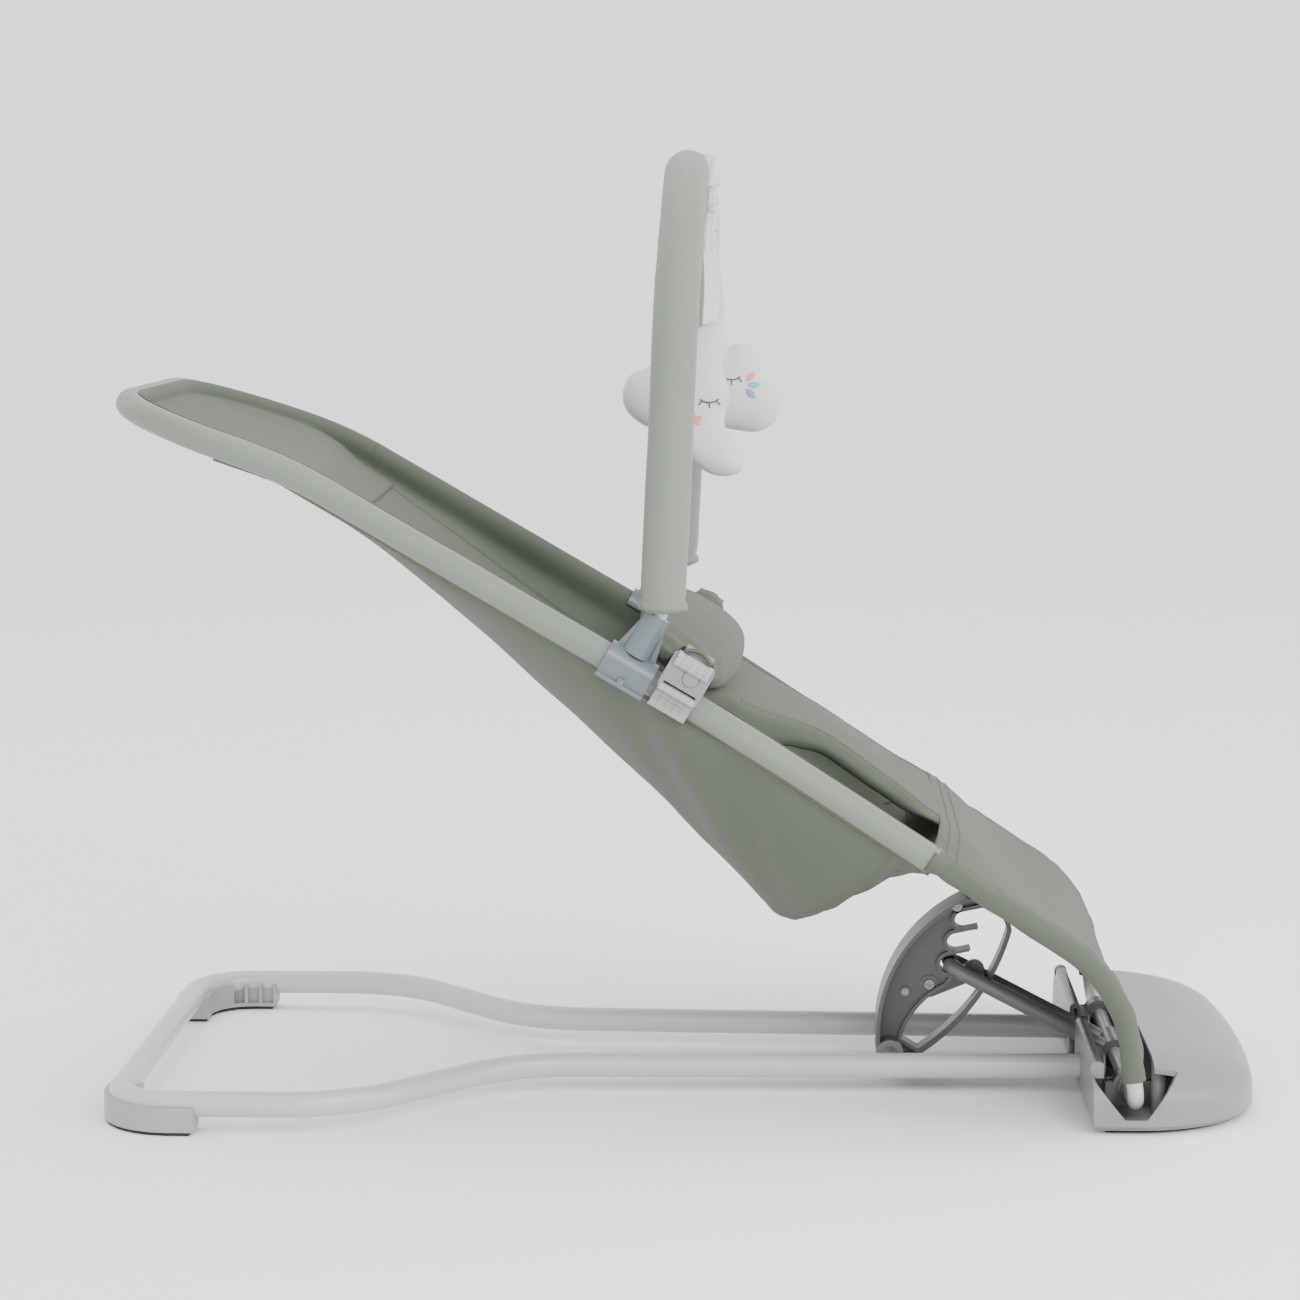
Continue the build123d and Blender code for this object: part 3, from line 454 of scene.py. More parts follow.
def rounded(corners, radii, step=0.006):
    """Points along straight runs joined by arcs, evenly spaced enough for a smooth sweep."""
    corners = [Vector(c) for c in corners]
    line = [corners[0]]
    for before, here, after, r in zip(corners, corners[1:], corners[2:], radii):
        a, b = (before - here).normalized(), (after - here).normalized()
        half = a.angle(b) / 2
        reach = r / tan(half)
        centre = here + (a + b).normalized() * (r / sin(half))
        start, end = here + a * reach, here + b * reach
        turns = max(4, int(r * (pi - 2 * half) / step))
        p, q = start - centre, end - centre
        sweep = p.angle(q)
        for k in range(turns + 1):
            t = k / turns
            line.append(centre + (p * sin((1 - t) * sweep) + q * sin(t * sweep)) / sin(sweep))
    line.append(corners[-1])
    filled = [line[0]]
    for a, b in zip(line, line[1:]):
        count = max(1, int((b - a).length / step))
        filled += [a.lerp(b, k / count) for k in range(1, count + 1)]
    return [p for k, p in enumerate(filled) if k == 0 or (p - filled[k - 1]).length > 1e-5]


def rings(line, radius, sides=20, up=(0, 0, 1)):
    """Rings of points round a line; radius is a number or a function of (length, angle)."""
    ahead = (line[1] - line[0]).normalized()
    side = ahead.cross(Vector(up)).normalized()
    out = []
    for k, (p, s) in enumerate(zip(line, running_length(line))):
        nearby = line[min(k + 1, len(line) - 1)] - line[max(k - 1, 0)]
        ahead = nearby.normalized()
        side = (side - ahead * side.dot(ahead)).normalized()
        top = side.cross(ahead)
        ring = []
        for j in range(sides):
            angle = 2 * pi * j / sides
            r = radius(s, angle) if callable(radius) else radius
            ring.append(p + side * (cos(angle) * r) + top * (sin(angle) * r))
        out.append(ring)
    return out


def tube_piece(name, line, radius, finish, sides=20, inner=None, up=(0, 0, 1)):
    """A sleeve with turned-in ends when inner is given, or a closed round cord."""
    rows = rings(line, radius, sides, up)
    if inner:
        core = rings(line, inner, sides, up)
        rows = [core[0]] + rows + [core[-1]]
    else:
        rows = [[line[0]] * sides] + rows + [[line[-1]] * sides]
    return grid_piece(name, rows, finish, True)


def stitches(name, line, finish, pitch=0.0035, length=0.0024, radius=0.00035):
    """A row of short thread loops lying along a line."""
    marks = running_length(line)
    points, faces = [], []
    sides = 6

    def at(s):
        for k in range(len(line) - 1):
            if marks[k + 1] >= s:
                return line[k].lerp(line[k + 1], (s - marks[k]) / (marks[k + 1] - marks[k]))
        return line[-1]

    s = pitch / 2
    while s + length < marks[-1]:
        a, b = at(s), at(s + length)
        ahead = (b - a).normalized()
        side = ahead.orthogonal().normalized()
        top = ahead.cross(side)
        for share, width in ((0.0, 0.3), (0.2, 1.0), (0.8, 1.0), (1.0, 0.3)):
            middle = a.lerp(b, share)
            for j in range(sides):
                angle = 2 * pi * j / sides
                out = side * cos(angle) + top * sin(angle)
                points.append(middle + out * (radius * width))
        first = len(points) - 4 * sides
        for r in range(3):
            for j in range(sides):
                k = (j + 1) % sides
                row = first + r * sides
                faces.append((row + j, row + k, row + sides + k, row + sides + j))
        faces.append(tuple(range(first + sides - 1, first - 1, -1)))
        faces.append(tuple(range(len(points) - sides, len(points))))
        s += pitch
    return mesh_piece(name, points, faces, finish)


def finish_soft(piece, body, slot, *replaced):
    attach(piece, body)
    if replaced:
        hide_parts(*replaced)
    print(piece.name, len(piece.data.vertices), "points")
    return piece


# %% [markdown]
# ## The seat's own coordinates
# The side tubes slope down to the feet, so the cloth is easier to shape in the
# seat's own frame: x along the tube on the floor plan, y to the side, and lift
# square off the tube.

# %% Seat frame
seat_half = 0.182
tube_r = 0.008
head, nape, waist, knee = (-0.416, 0.528), (-0.290, 0.485), (0.030, 0.299), (0.319, 0.1108)
axle = (0.331, 0.020)
split_x = 0.181


def tube_z(x):
    a, b = (head, nape) if x < nape[0] else (nape, waist) if x < waist[0] else (waist, knee)
    return a[1] + (b[1] - a[1]) * (x - a[0]) / (b[0] - a[0])


def normal_at(x):
    """The direction square off the tube, blended over the bends."""
    total = Vector((0, 0, 0))
    for shift in (-0.03, -0.01, 0.01, 0.03):
        dx, dz = 0.002, tube_z(x + shift + 0.001) - tube_z(x + shift - 0.001)
        total += Vector((-dz, 0, dx)).normalized()
    return total.normalized()


seat_up = normal_at(-0.1)  # square off the straight middle of the side tubes


def on_seat(x, y, lift):
    return Vector((x, y, tube_z(x))) + normal_at(x) * lift


def ease(t):
    t = min(1.0, max(0.0, t))
    return t * t * (3 - 2 * t)


def through(stops, x):
    """The value at x of a smooth curve through (x, value) stops."""
    if x <= stops[0][0]:
        return stops[0][1]
    for (x0, v0), (x1, v1) in zip(stops, stops[1:]):
        if x <= x1:
            return v0 + (v1 - v0) * ease((x - x0) / (x1 - x0))
    return stops[-1][1]


def ripple(p, size, amount, seed=0.0):
    return noise.noise(Vector(p) / size + Vector((seed, seed * 0.7, -seed))) * amount


# %% [markdown]
# ## Sleeve on the hoop
# A smooth sleeve is pulled over the whole hoop and stitched shut along its
# underside. It is a swept tube with a barely uneven radius.

# %% Hoop sleeve
hoop_corners = [(split_x, tube_z(split_x)), waist, nape, head]
hoop_side = [(x, -seat_half, z) for x, z in hoop_corners]
hoop_far = [(x, seat_half, z) for x, z in reversed(hoop_corners)]
hoop_line = rounded(hoop_side + hoop_far, [1.5, 0.35, 0.095, 0.095, 0.35, 1.5])
hoop_length = running_length(hoop_line)[-1]


def hoop_radius(s, angle):
    near_end = min(s, hoop_length - s)
    slack = noise.noise(Vector((s * 14, cos(angle) * 1.3, sin(angle) * 1.3))) * 0.00035
    pulled = 0.0006 * exp(-((near_end - 0.004) / 0.0022) ** 2)
    pulled -= 0.0012 * exp(-((near_end - 0.0085) / 0.0018) ** 2)
    pleats = 0.0003 * sin(9 * angle) * exp(-(near_end / 0.03) ** 2)
    return 0.0101 + slack + pulled + pleats


hoop_sleeve = tube_piece("hoop_sleeve", hoop_line, hoop_radius, sage_smooth, 28, tube_r + 0.0001)
finish_soft(hoop_sleeve, "seat", "sleeve_fabric", "seat_tube_sleeve")

# %% [markdown]
# ## The hanging seat
# One cloth hangs between the side tubes like a hammock, shallow at the nape and
# deepest under the hips, and turns up sharply in front. Each row of the grid is
# one cross-section of it. Long soft folds run from the buckles down to the
# deepest point, because that is where the cloth is pulled.

# %% Hanging seat
sling_depths = [(-0.345, 0.0115), (-0.290, 0.0125), (-0.245, 0.019)]
sling_front = [
    (0.120, 0.1185), (0.132, 0.1215), (0.145, 0.118), (0.154, 0.101),
    (0.162, 0.077), (0.170, 0.050), (0.178, 0.027), (0.183, 0.018),
]
hem_lift = 0.0108
sling_anchor = on_seat(0, 0, -hem_lift)


def sling_depth(x):
    if x < -0.245:
        return through(sling_depths, x)
    if x < 0.120:
        return 0.019 + (0.1185 - 0.019) * (x + 0.245) / 0.365
    return through(sling_front, x)


def sling_folds(x, t, depth):
    side = abs(cos(t))
    from_buckle = x + 0.035 - 0.165 * (1 - side)
    long_fold = 0.0058 * exp(-((from_buckle - 0.040) / 0.022) ** 2)
    long_fold -= 0.0066 * exp(-(from_buckle / 0.020) ** 2)
    long_fold -= 0.0052 * exp(-((from_buckle - 0.082) / 0.016) ** 2)
    long_fold *= ease((depth - 0.03) / 0.04) * ease((0.19 - x) / 0.05) * (0.2 + 0.8 * side)
    gather = 0.0018 * sin(x * 420 + 3 * side) * exp(-((x - 0.165) / 0.016) ** 2) * side
    slack = ripple((x, cos(t) * 0.18, depth * sin(t)), 0.055, 0.0028, 2.0)
    return long_fold * side + gather + slack * ease(depth / 0.04) * (0.3 + 0.7 * side)


def sling_point(x, t):
    depth = sling_depth(x)
    bulge = sling_folds(x, t, depth)
    y = -(seat_half - 0.0005) * cos(t)
    drop = hem_lift + (depth - hem_lift) * sin(t) ** 1.35
    closing = ease((-0.300 - x) / 0.040)
    drop += (0.0012 + 0.0105 * sin(t) ** 1.4 - drop) * closing
    y *= 1 - 0.012 * closing
    edge = min(1.0, sin(t) * 5)
    y -= cos(t) * bulge * edge * 0.6
    return on_seat(x, y, -(drop + bulge * edge * max(0.35, sin(t))))


sling_stations = [-0.345 + k * 0.0044 for k in range(112)] + [0.1495 + k * 0.0021 for k in range(17)]
sling_turns = [pi * j / 84 for j in range(85)]
sling = grid_piece("hanging_seat", [[sling_point(x, t) for t in sling_turns] for x in sling_stations], sage)
thicken(sling, 0.0014)
finish_soft(sling, "seat", "sage_fabric", "seat_sling")
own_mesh(sling)

# %% [markdown]
# ## Hem of the seat cloth
# Under each side tube the cloth is folded over a thin cord and stitched. The
# cord gives the dark line right under the tube, and the fold gives the raised
# band beside it.

# %% Seat hem


def hem_band(side):
    rows = []
    for x in sling_stations[4:-1]:
        row = []
        for k in range(6):
            t = 0.012 + 0.014 * k
            p = sling_point(x, t)
            out = Vector((0, -0.0016 * sin(pi * (k + 0.4) / 5.4), -0.0004))
            p += out
            row.append(Vector((p.x, -side * p.y, p.z)))
        rows.append(row)
    return rows


def seam_cord(side, shift, lift):
    return [on_seat(x, side * (seat_half + shift), lift) for x in sling_stations[2:]]


for side, name in ((-1, "right"), (1, "left")):
    band = grid_piece("seat_hem_" + name, hem_band(side), sage)
    thicken(band, 0.0011)
    finish_soft(band, "seat", "sage_fabric")
    cord = tube_piece("seat_piping_" + name, seam_cord(side, 0.0012, -0.0104), 0.0011, sage_thread, 8)
    finish_soft(cord, "seat", "sage_fabric")
    row = [r[3] + Vector((0, side * 0.0009, -0.0002)) for r in hem_band(side)]
    finish_soft(stitches("seat_hem_stitches_" + name, row, sage_thread), "seat", "sage_fabric")

# %% [markdown]
# ## Head cloth
# Inside the rounded head of the hoop the cloth is pulled nearly flat. It dips
# a little in the middle and its rows narrow with the round corners.

# %% Head cloth
head_run = hypot(nape[0] - head[0], nape[1] - head[1])


def head_half(d):
    r = 0.095
    return seat_half - (0 if d > r else r - sqrt(max(0.0, r * r - (r - d) ** 2)))


def head_point(d, share):
    x = head[0] + (nape[0] - head[0]) * d / head_run
    half = head_half(d) - 0.005
    y = share * half
    dip = 0.010 * ease(d / 0.07) * (1 - share * share) ** 0.8
    folds = ripple((x, y, 0), 0.05, 0.0012, 5.0) * (1 - share ** 4)
    above = on_seat(x, y, 0.0008 - dip + folds)
    onto = sling_point(x, acos(-y / seat_half)) + normal_at(x) * 0.0014
    return above.lerp(onto, ease((d - head_run + 0.030) / 0.055))


head_rows = [
    [head_point(0.004 + (head_run + 0.046) * i / 56, -1 + 2 * j / 60) for j in range(61)] for i in range(57)
]
head_cloth = grid_piece("head_cloth_sheet", head_rows, sage)
thicken(head_cloth, 0.0010)
finish_soft(head_cloth, "seat", "sage_fabric", "head_cloth")

# %% [markdown]
# ## Lining over the tubes
# Seen from inside, there is no step between the seat and its side tubes. The
# seat cloth is carried up the inner side of each tube and ends on top of it.

# %% Lining


def lining_row(p, ahead, low):
    """One cross-section: over the tube from its top, then down to the points in low."""
    up = normal_at(p.x)
    inward = up.cross(ahead).normalized()
    if inward.dot(Vector((-0.25, 0, 0.47)) - p) < 0:
        inward = -inward
    r = 0.0107
    turns = [radians(20 + 55 * k / 9) for k in range(10)]
    row = [p + inward * (sin(a) * r) + up * (cos(a) * r) for a in turns]
    start, leave = row[-1], inward * cos(turns[-1]) - up * sin(turns[-1])
    end, arrive = low[0], (low[1] - low[0]).normalized()
    reach = (end - start).length * 0.42
    b, c = start + leave * reach, end - arrive * reach
    for k in range(1, 9):
        t = k / 9
        outer = start * (1 - t) ** 3 + b * (3 * t * (1 - t) ** 2)
        row.append(outer + c * (3 * t * t * (1 - t)) + end * t ** 3)
    return row + low


def lining_foot(x, side):
    """Where the lining meets the hanging cloth, as points just above it."""
    turns = [0.34 + 0.045 * i for i in range(6)]
    lifts = [0.0016 - 0.0002 * i for i in range(6)]
    return [sling_point(x, t if side < 0 else pi - t) + normal_at(x) * lift for t, lift in zip(turns, lifts)]


def seat_lining(side):
    rows = []
    for k in range(100):
        x = -0.268 + 0.447 * k / 99
        ahead = on_seat(x + 0.001, 0, 0) - on_seat(x - 0.001, 0, 0)
        rows.append(lining_row(on_seat(x, side * seat_half, 0), ahead, lining_foot(x, side)))
    return rows


def head_lining():
    rows = []
    for k in range(1, len(hoop_line) - 1):
        p = hoop_line[k]
        if p.x > -0.258:
            continue
        ahead = (hoop_line[k + 1] - hoop_line[k - 1]).normalized()
        up = normal_at(p.x)
        inward = up.cross(ahead).normalized()
        if inward.dot(Vector((-0.25, 0, 0.47)) - p) < 0:
            inward = -inward
        low = [p + inward * (0.017 + 0.0012 * i) - up * (0.0005 + 0.0004 * i) for i in range(6)]
        onto = lining_foot(p.x, -1 if p.y < 0 else 1) if p.x > -0.34 else low
        blend = ease((p.x + 0.34) / 0.07)
        rows.append(lining_row(p, ahead, [a.lerp(b, blend) for a, b in zip(low, onto)]))
    return rows


for side, name in ((-1, "right"), (1, "left")):
    lining = grid_piece("seat_lining_" + name, seat_lining(side), sage)
    thicken(lining, 0.0009)
    finish_soft(lining, "seat", "sage_fabric")
    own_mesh(lining)
lining = grid_piece("head_lining", head_lining(), sage)
thicken(lining, 0.0009)
finish_soft(lining, "seat", "sage_fabric")

# %% [markdown]
# ## Leg panel and leg sleeves
# The cloth over the legs is one panel sewn into a sleeve along each leg tube.
# It is pulled over the knee bend and dives into the base. The creases gather
# at the upper corners, where the sleeve is tied off against the hoop.

# %% Leg panel
leg_corners = [Vector((split_x - 0.003, 0, tube_z(split_x - 0.003))), Vector((knee[0], 0, knee[1]))]
sleeve_low_z = axle[1] + 0.019
panel_low_z = axle[1] + 0.032


def leg_foot(z):
    x = axle[0] - (z - axle[1]) * (axle[0] - knee[0]) / (knee[1] - axle[1])
    return Vector((x, 0, z))


panel_line = rounded(leg_corners + [leg_foot(panel_low_z)], [0.10], 0.003)
panel_marks = running_length(panel_line)


def line_normal(line, k):
    ahead = (line[min(k + 1, len(line) - 1)] - line[max(k - 1, 0)]).normalized()
    return Vector((-ahead.z, 0, ahead.x))


def panel_point(k, share):
    s, p, out = panel_marks[k], panel_line[k], line_normal(panel_line, k)
    y = share * (seat_half + 0.001)
    raised = 0.0105 * exp(-((s / 0.055) ** 2)) * (1 - ease((abs(share) - 0.60) / 0.38))
    over_tube = 0.0086 - 0.0035 * ease((abs(share) - 0.965) / 0.035)
    sag = 0.007 * (1 - share * share) * ease((s - 0.03) / 0.07) * ease((panel_marks[-1] - s) / 0.05)
    pulled = exp(-s / 0.030) * ease((abs(share) - 0.72) / 0.2)
    folds = 0.0026 * sin(30 * share + 60 * s) * pulled + ripple((p.x, y, p.z * 0.5), 0.06, 0.0016, 7.0)
    crease = 0.0007 * sin(s * 240 + share * 6) * ease((abs(share) - 0.88) / 0.08) * ease(s / 0.03)
    return Vector((p.x, y, p.z)) + out * (over_tube + raised - sag + folds * (1 - abs(share) ** 8) + crease)


panel_rows = [[panel_point(k, -1 + 2 * j / 80) for j in range(81)] for k in range(len(panel_line))]
leg_panel = grid_piece("leg_panel_sheet", panel_rows, sage)
thicken(leg_panel, 0.0014)
finish_soft(leg_panel, "seat", "sage_fabric", "leg_panel")
for row, shift in ((3, "a"), (6, "b")):
    line = [p + line_normal(panel_line, row) * 0.0012 for p in panel_rows[row]]
    finish_soft(stitches("leg_panel_stitches_" + shift, line, sage_thread), "seat", "sage_fabric")

# %% [markdown]
# Between the legs the seam is closed by an upright band of cloth, which joins
# the front edge of the hanging seat to the panel and the flap above it.

# %% Front band
front_edge = [sling_point(0.1815, acos(-0.985 * (1 - 2 * j / 80))) for j in range(81)][::-1]
front_top = [panel_rows[2][j] - line_normal(panel_line, 2) * 0.0016 for j in range(81)]
front_rows = [[a.lerp(b, i / 8) for a, b in zip(front_edge, front_top)] for i in range(9)]
front_band = grid_piece("front_band", front_rows, sage)
thicken(front_band, 0.0010)
finish_soft(front_band, "seat", "sage_fabric")

leg_line = rounded(leg_corners + [leg_foot(sleeve_low_z)], [0.10], 0.0025)
leg_length = running_length(leg_line)[-1]


def leg_sleeve_radius(s, angle):
    below = leg_length - s
    bunched = noise.noise(Vector((s * 46, cos(angle) * 1.6, sin(angle) * 1.6)))
    bunched *= 0.0006 + 0.0011 * exp(-s / 0.05)
    tied = 0.0023 * ease((0.010 - s) / 0.007) - 0.0006 * exp(-((s - 0.012) / 0.0025) ** 2)
    tied -= 0.0008 * exp(-((below - 0.027) / 0.0016) ** 2)
    tied -= 0.0007 * exp(-((below - 0.012) / 0.0014) ** 2)
    return 0.0083 + bunched + tied + 0.0005 * exp(-below / 0.012)


for side, name in ((-1, "right"), (1, "left")):
    line = [Vector((p.x, side * seat_half, p.z)) for p in leg_line]
    sleeve = tube_piece("leg_sleeve_cloth_" + name, line, leg_sleeve_radius, sage, 26, 0.0062)
    finish_soft(sleeve, "seat", "sage_fabric", "leg_sleeve_" + name)

# %% [markdown]
# ## Tummy roll
# The harness starts as a padded roll across the tummy. Its cross-section is a
# rounded cushion that shrinks towards both sides, where it is folded and led
# out to the buckles. A superellipse gives the full, tight look of a filled
# roll without a simulation.

# %% Tummy roll


def squircle(angle, power):
    c, s = cos(angle), sin(angle)
    return abs(c) ** power * (1 if c >= 0 else -1), abs(s) ** power * (1 if s >= 0 else -1)


def roll_rows():
    rows = []
    for i in range(81):
        share = -1 + 2 * i / 80
        y = share * 0.158
        taper = (1 - abs(share) ** 3) ** 0.6 if abs(share) < 1 else 0.0
        long = 0.016 + 0.027 * taper
        high = 0.004 + 0.0165 * taper
        middle = 0.018 + 0.0115 * (1 - share * share)
        centre = -0.013 + 0.006 * share * share
        row = []
        for j in range(48):
            a = 2 * pi * j / 48
            u, v = squircle(a, 0.82)
            pull = 0.0012 * sin(7 * a + 40 * abs(share)) * ease((abs(share) - 0.72) / 0.2)
            soft = ripple((u * long, y, v * high), 0.035, 0.0012, 9.0)
            lift = middle + v * high + (pull + soft) * (1 if v > 0 else 0.3)
            row.append(on_seat(centre, y, lift) + (waist_ahead * (u * long)))
        rows.append(row)
    rows[0] = [sum(rows[0], Vector()) / 48] * 48
    rows[-1] = [sum(rows[-1], Vector()) / 48] * 48
    return rows


waist_ahead = (Vector((waist[0], 0, waist[1])) - Vector((nape[0], 0, nape[1]))).normalized()
roll = grid_piece("tummy_roll", roll_rows(), sage, True)
finish_soft(roll, "seat", "sage_fabric", "harness_flap")

# %% [markdown]
# ## Flap between the legs
# From the roll a flap runs down between the baby's legs to the front seam. It
# is narrow in the middle and wide at the seam. Both long edges are turned
# under and stitched twice, and hang a little below the stitching.

# %% Flap
flap_half = [(0.0, 0.136), (0.030, 0.121), (0.0975, 0.070), (0.140, 0.083), (0.174, 0.107), (0.190, 0.114)]
flap_edge = [(0.0, 0.008), (0.030, 0.010), (0.0975, 0.021), (0.174, 0.0190), (0.190, 0.0175)]
flap_crown = [(0.0, 0.028), (0.030, 0.021), (0.0975, 0.025), (0.174, 0.0200), (0.190, 0.0175)]
skirt_deep = [
    (0.0, 0.012), (0.030, 0.022), (0.050, 0.028), (0.078, 0.016),
    (0.100, 0.012), (0.150, 0.011), (0.182, 0.003),
]


def flap_point(x, share):
    """share runs from -1.25 to 1.25; beyond 1 the cloth turns down as a skirt."""
    half, edge, crown = through(flap_half, x), through(flap_edge, x), through(flap_crown, x)
    inside = min(1.0, abs(share))
    lift = edge + (crown - edge) * (1 - inside ** 2.2)
    y = inside * half
    over = max(0.0, abs(share) - 1) / 0.25
    lift -= through(skirt_deep, x) * over ** 0.8
    y += 0.004 * sin(over * pi) + 0.002 * over
    slack = ripple((x, share * 0.12, 0.3), 0.055, 0.0014, 11.0)
    tuck = -0.0026 * exp(-((x - 0.146 - 0.012 * share) / 0.004) ** 2)
    tuck *= ease((share + 0.1) / 0.4) * (1 - inside)
    return on_seat(x, y * (1 if share >= 0 else -1), lift + slack * ease((0.18 - x) / 0.03) + tuck)


flap_stations = [0.002 + 0.1825 * i / 74 for i in range(75)]
flap_shares = [-1.25 + 2.5 * j / 90 for j in range(91)]
flap_rows = [[flap_point(x, s) for s in flap_shares] for x in flap_stations]
flap = grid_piece("harness_flap_sheet", flap_rows, sage)
thicken(flap, 0.0018)
finish_soft(flap, "seat", "sage_fabric")
for side, name in ((-1, "right"), (1, "left")):
    for inset, letter in ((0.965, "a"), (0.915, "b")):
        line = [flap_point(x, side * inset) + normal_at(x) * 0.0013 for x in flap_stations[12:]]
        finish_soft(stitches(f"flap_stitches_{name}_{letter}", line, sage_thread), "seat", "sage_fabric")

# %% [markdown]
# ## Folded ends of the flap
# At each side the cloth of the roll is folded double, led over the tube and
# sewn round the buckle's tongue. When the tongue is pulled, the fold goes with
# it, so it rides on the tongue's body.

# %% Folded ends
buckle_x = -0.007
buckle_ahead = waist_ahead


def at_buckle(x, y, lift, side):
    """A point beside the tube at the buckle: x down the tube, y outwards, lift square off it."""
    base = Vector((buckle_x, side * (seat_half + y), tube_z(buckle_x)))
    return base + buckle_ahead * x + seat_up * lift


fold_path = [
    (0.0208, 0.0385), (0.0150, 0.0410), (0.0060, 0.0385), (-0.0040, 0.0300),
    (-0.0160, 0.0240), (-0.0300, 0.0225), (-0.0440, 0.0220),
]


def fold_rows(side, layer):
    rows = []
    path = rounded([(y, 0, z) for y, z in fold_path], [0.004] * (len(fold_path) - 2), 0.0016)
    for k, p in enumerate(path):
        share = k / (len(path) - 1)
        half = 0.0105 + 0.007 * ease(share * 1.6)
        row = []
        for j in range(25):
            a = -1 + 2 * j / 24
            wave = 0.0016 * sin(a * 6 + share * 5 + layer * 1.7) * ease(share * 2)
            curl = 0.0040 * a * a
            lift = p.z - curl + wave - 0.0022 * layer
            row.append(at_buckle(a * half + 0.004 * share * layer, p.x, lift, side))
        rows.append(row)
    return rows


for side, name in ((-1, "right"), (1, "left")):
    upper = grid_piece("harness_fold_" + name, fold_rows(side, 0), sage)
    thicken(upper, 0.0015)
    finish_soft(upper, "tongue_" + name, "sage_fabric", "harness_wing_" + name)
    under = grid_piece("harness_fold_under_" + name, fold_rows(side, 1), sage)
    thicken(under, 0.0013)
    finish_soft(under, "tongue_" + name, "sage_fabric")

# %% [markdown]
# ## Webbing on the buckle
# Ribbed webbing loops round the tube and through the buckle's lower slot, and
# a narrower piece is sewn over its top bar.

# %% Buckle webbing


def loop_rows(side, half, outline):
    line = rounded([(y, 0, z) for y, z in outline], [0.004] * (len(outline) - 2), 0.0012)
    rows = []
    for p in line:
        rows.append([at_buckle(-half + 2 * half * j / 20, p.x, p.z, side) for j in range(21)])
    return rows


lower_loop = [
    (-0.0125, 0.004), (-0.0125, -0.0125), (0.0115, -0.0128), (0.0130, 0.000),
    (0.0215, 0.0010), (0.0240, -0.0005), (0.0242, 0.0052),
    (0.0160, 0.0075),
]
upper_band = [(0.0150, 0.0325), (0.0236, 0.0325), (0.0240, 0.0265), (0.0232, 0.0225)]
for side, name in ((-1, "right"), (1, "left")):
    loop = grid_piece("buckle_loop_" + name, loop_rows(side, 0.0150, lower_loop), webbing)
    thicken(loop, 0.0015)
    finish_soft(loop, "seat", "webbing", "buckle_webbing_" + name)
    band = grid_piece("buckle_band_" + name, loop_rows(side, 0.0140, upper_band), webbing)
    thicken(band, 0.0012)
    finish_soft(band, "seat", "webbing")

# %% [markdown]
# ## Roll on the toy bar
# A padded sleeve covers the toy bar from clamp to clamp. Near each end it is
# stitched round the bar, and the cloth below the stitching puffs out in pleats.

# %% Toy bar roll
bar_top, bar_half_top, bar_corner = (-0.002, 0.699), 0.168, 0.158
bar_foot = on_seat(-0.041, 0, 0)
bar_bend = bar_foot + seat_up * 0.050
bar_rise = bar_top[1] - bar_bend.z
low_share = -0.003 / bar_rise
roll_low_x = bar_bend.x + (bar_top[0] - bar_bend.x) * low_share
roll_low_y = seat_half - (seat_half - bar_half_top) * low_share
roll_low = Vector((roll_low_x, roll_low_y, bar_bend.z - 0.003))
bar_line = rounded(
    [
        (roll_low.x, -roll_low.y, roll_low.z),
        (bar_top[0], -bar_half_top, bar_top[1]),
        (bar_top[0], bar_half_top, bar_top[1]),
        roll_low,
    ],
    [bar_corner, bar_corner],
    0.0035,
)
bar_length = running_length(bar_line)[-1]


def bar_radius(s, angle):
    end = min(s, bar_length - s)
    slack = noise.noise(Vector((s * 11, cos(angle) * 1.2, sin(angle) * 1.2))) * 0.0007
    fine = noise.noise(Vector((s * 60, cos(angle) * 3, sin(angle) * 3))) * 0.00025
    stitched = -0.0016 * exp(-((end - 0.0115) / 0.0018) ** 2)
    puffed = (0.0007 + 0.0009 * sin(13 * angle)) * exp(-((end - 0.005) / 0.005) ** 2)
    closing = -0.0060 * ease((0.0028 - end) / 0.0028)
    return 0.0166 + slack + fine + stitched + puffed + closing


bar_roll = tube_piece("toy_bar_roll", bar_line, bar_radius, sage_smooth, 40, 0.0064, (1, 0, 0))
finish_soft(bar_roll, "toy_bar", "sage_fabric", "toy_bar_sleeve")


def round_stitches(name, centre, ahead, radius):
    side = ahead.orthogonal().normalized()
    top = ahead.cross(side)
    line = [centre + (side * cos(2 * pi * k / 60) + top * sin(2 * pi * k / 60)) * radius for k in range(61)]
    return stitches(name, line, sage_thread, 0.0040, 0.0028, 0.0004)


bar_marks = running_length(bar_line)
hem_at = next(k for k, s in enumerate(bar_marks) if s > 0.0115)
for end, name in ((1, "right"), (-1, "left")):
    spot = bar_line[hem_at] if end > 0 else bar_line[-1 - hem_at]
    onward = bar_line[hem_at + 1] if end > 0 else bar_line[-2 - hem_at]
    hem = round_stitches("toy_bar_hem_" + name, spot, (onward - spot).normalized(), 0.0157)
    finish_soft(hem, "toy_bar", "sage_fabric")

# %% [markdown]
# ## Stuffed toys
# A stuffed toy is two equal flat shapes sewn round the edge and filled. The
# outline is meshed flat, and every point is then pushed out by how far it lies
# from the seam, which gives the round shoulders and the sharp seam line.

# %% Stuffed toys


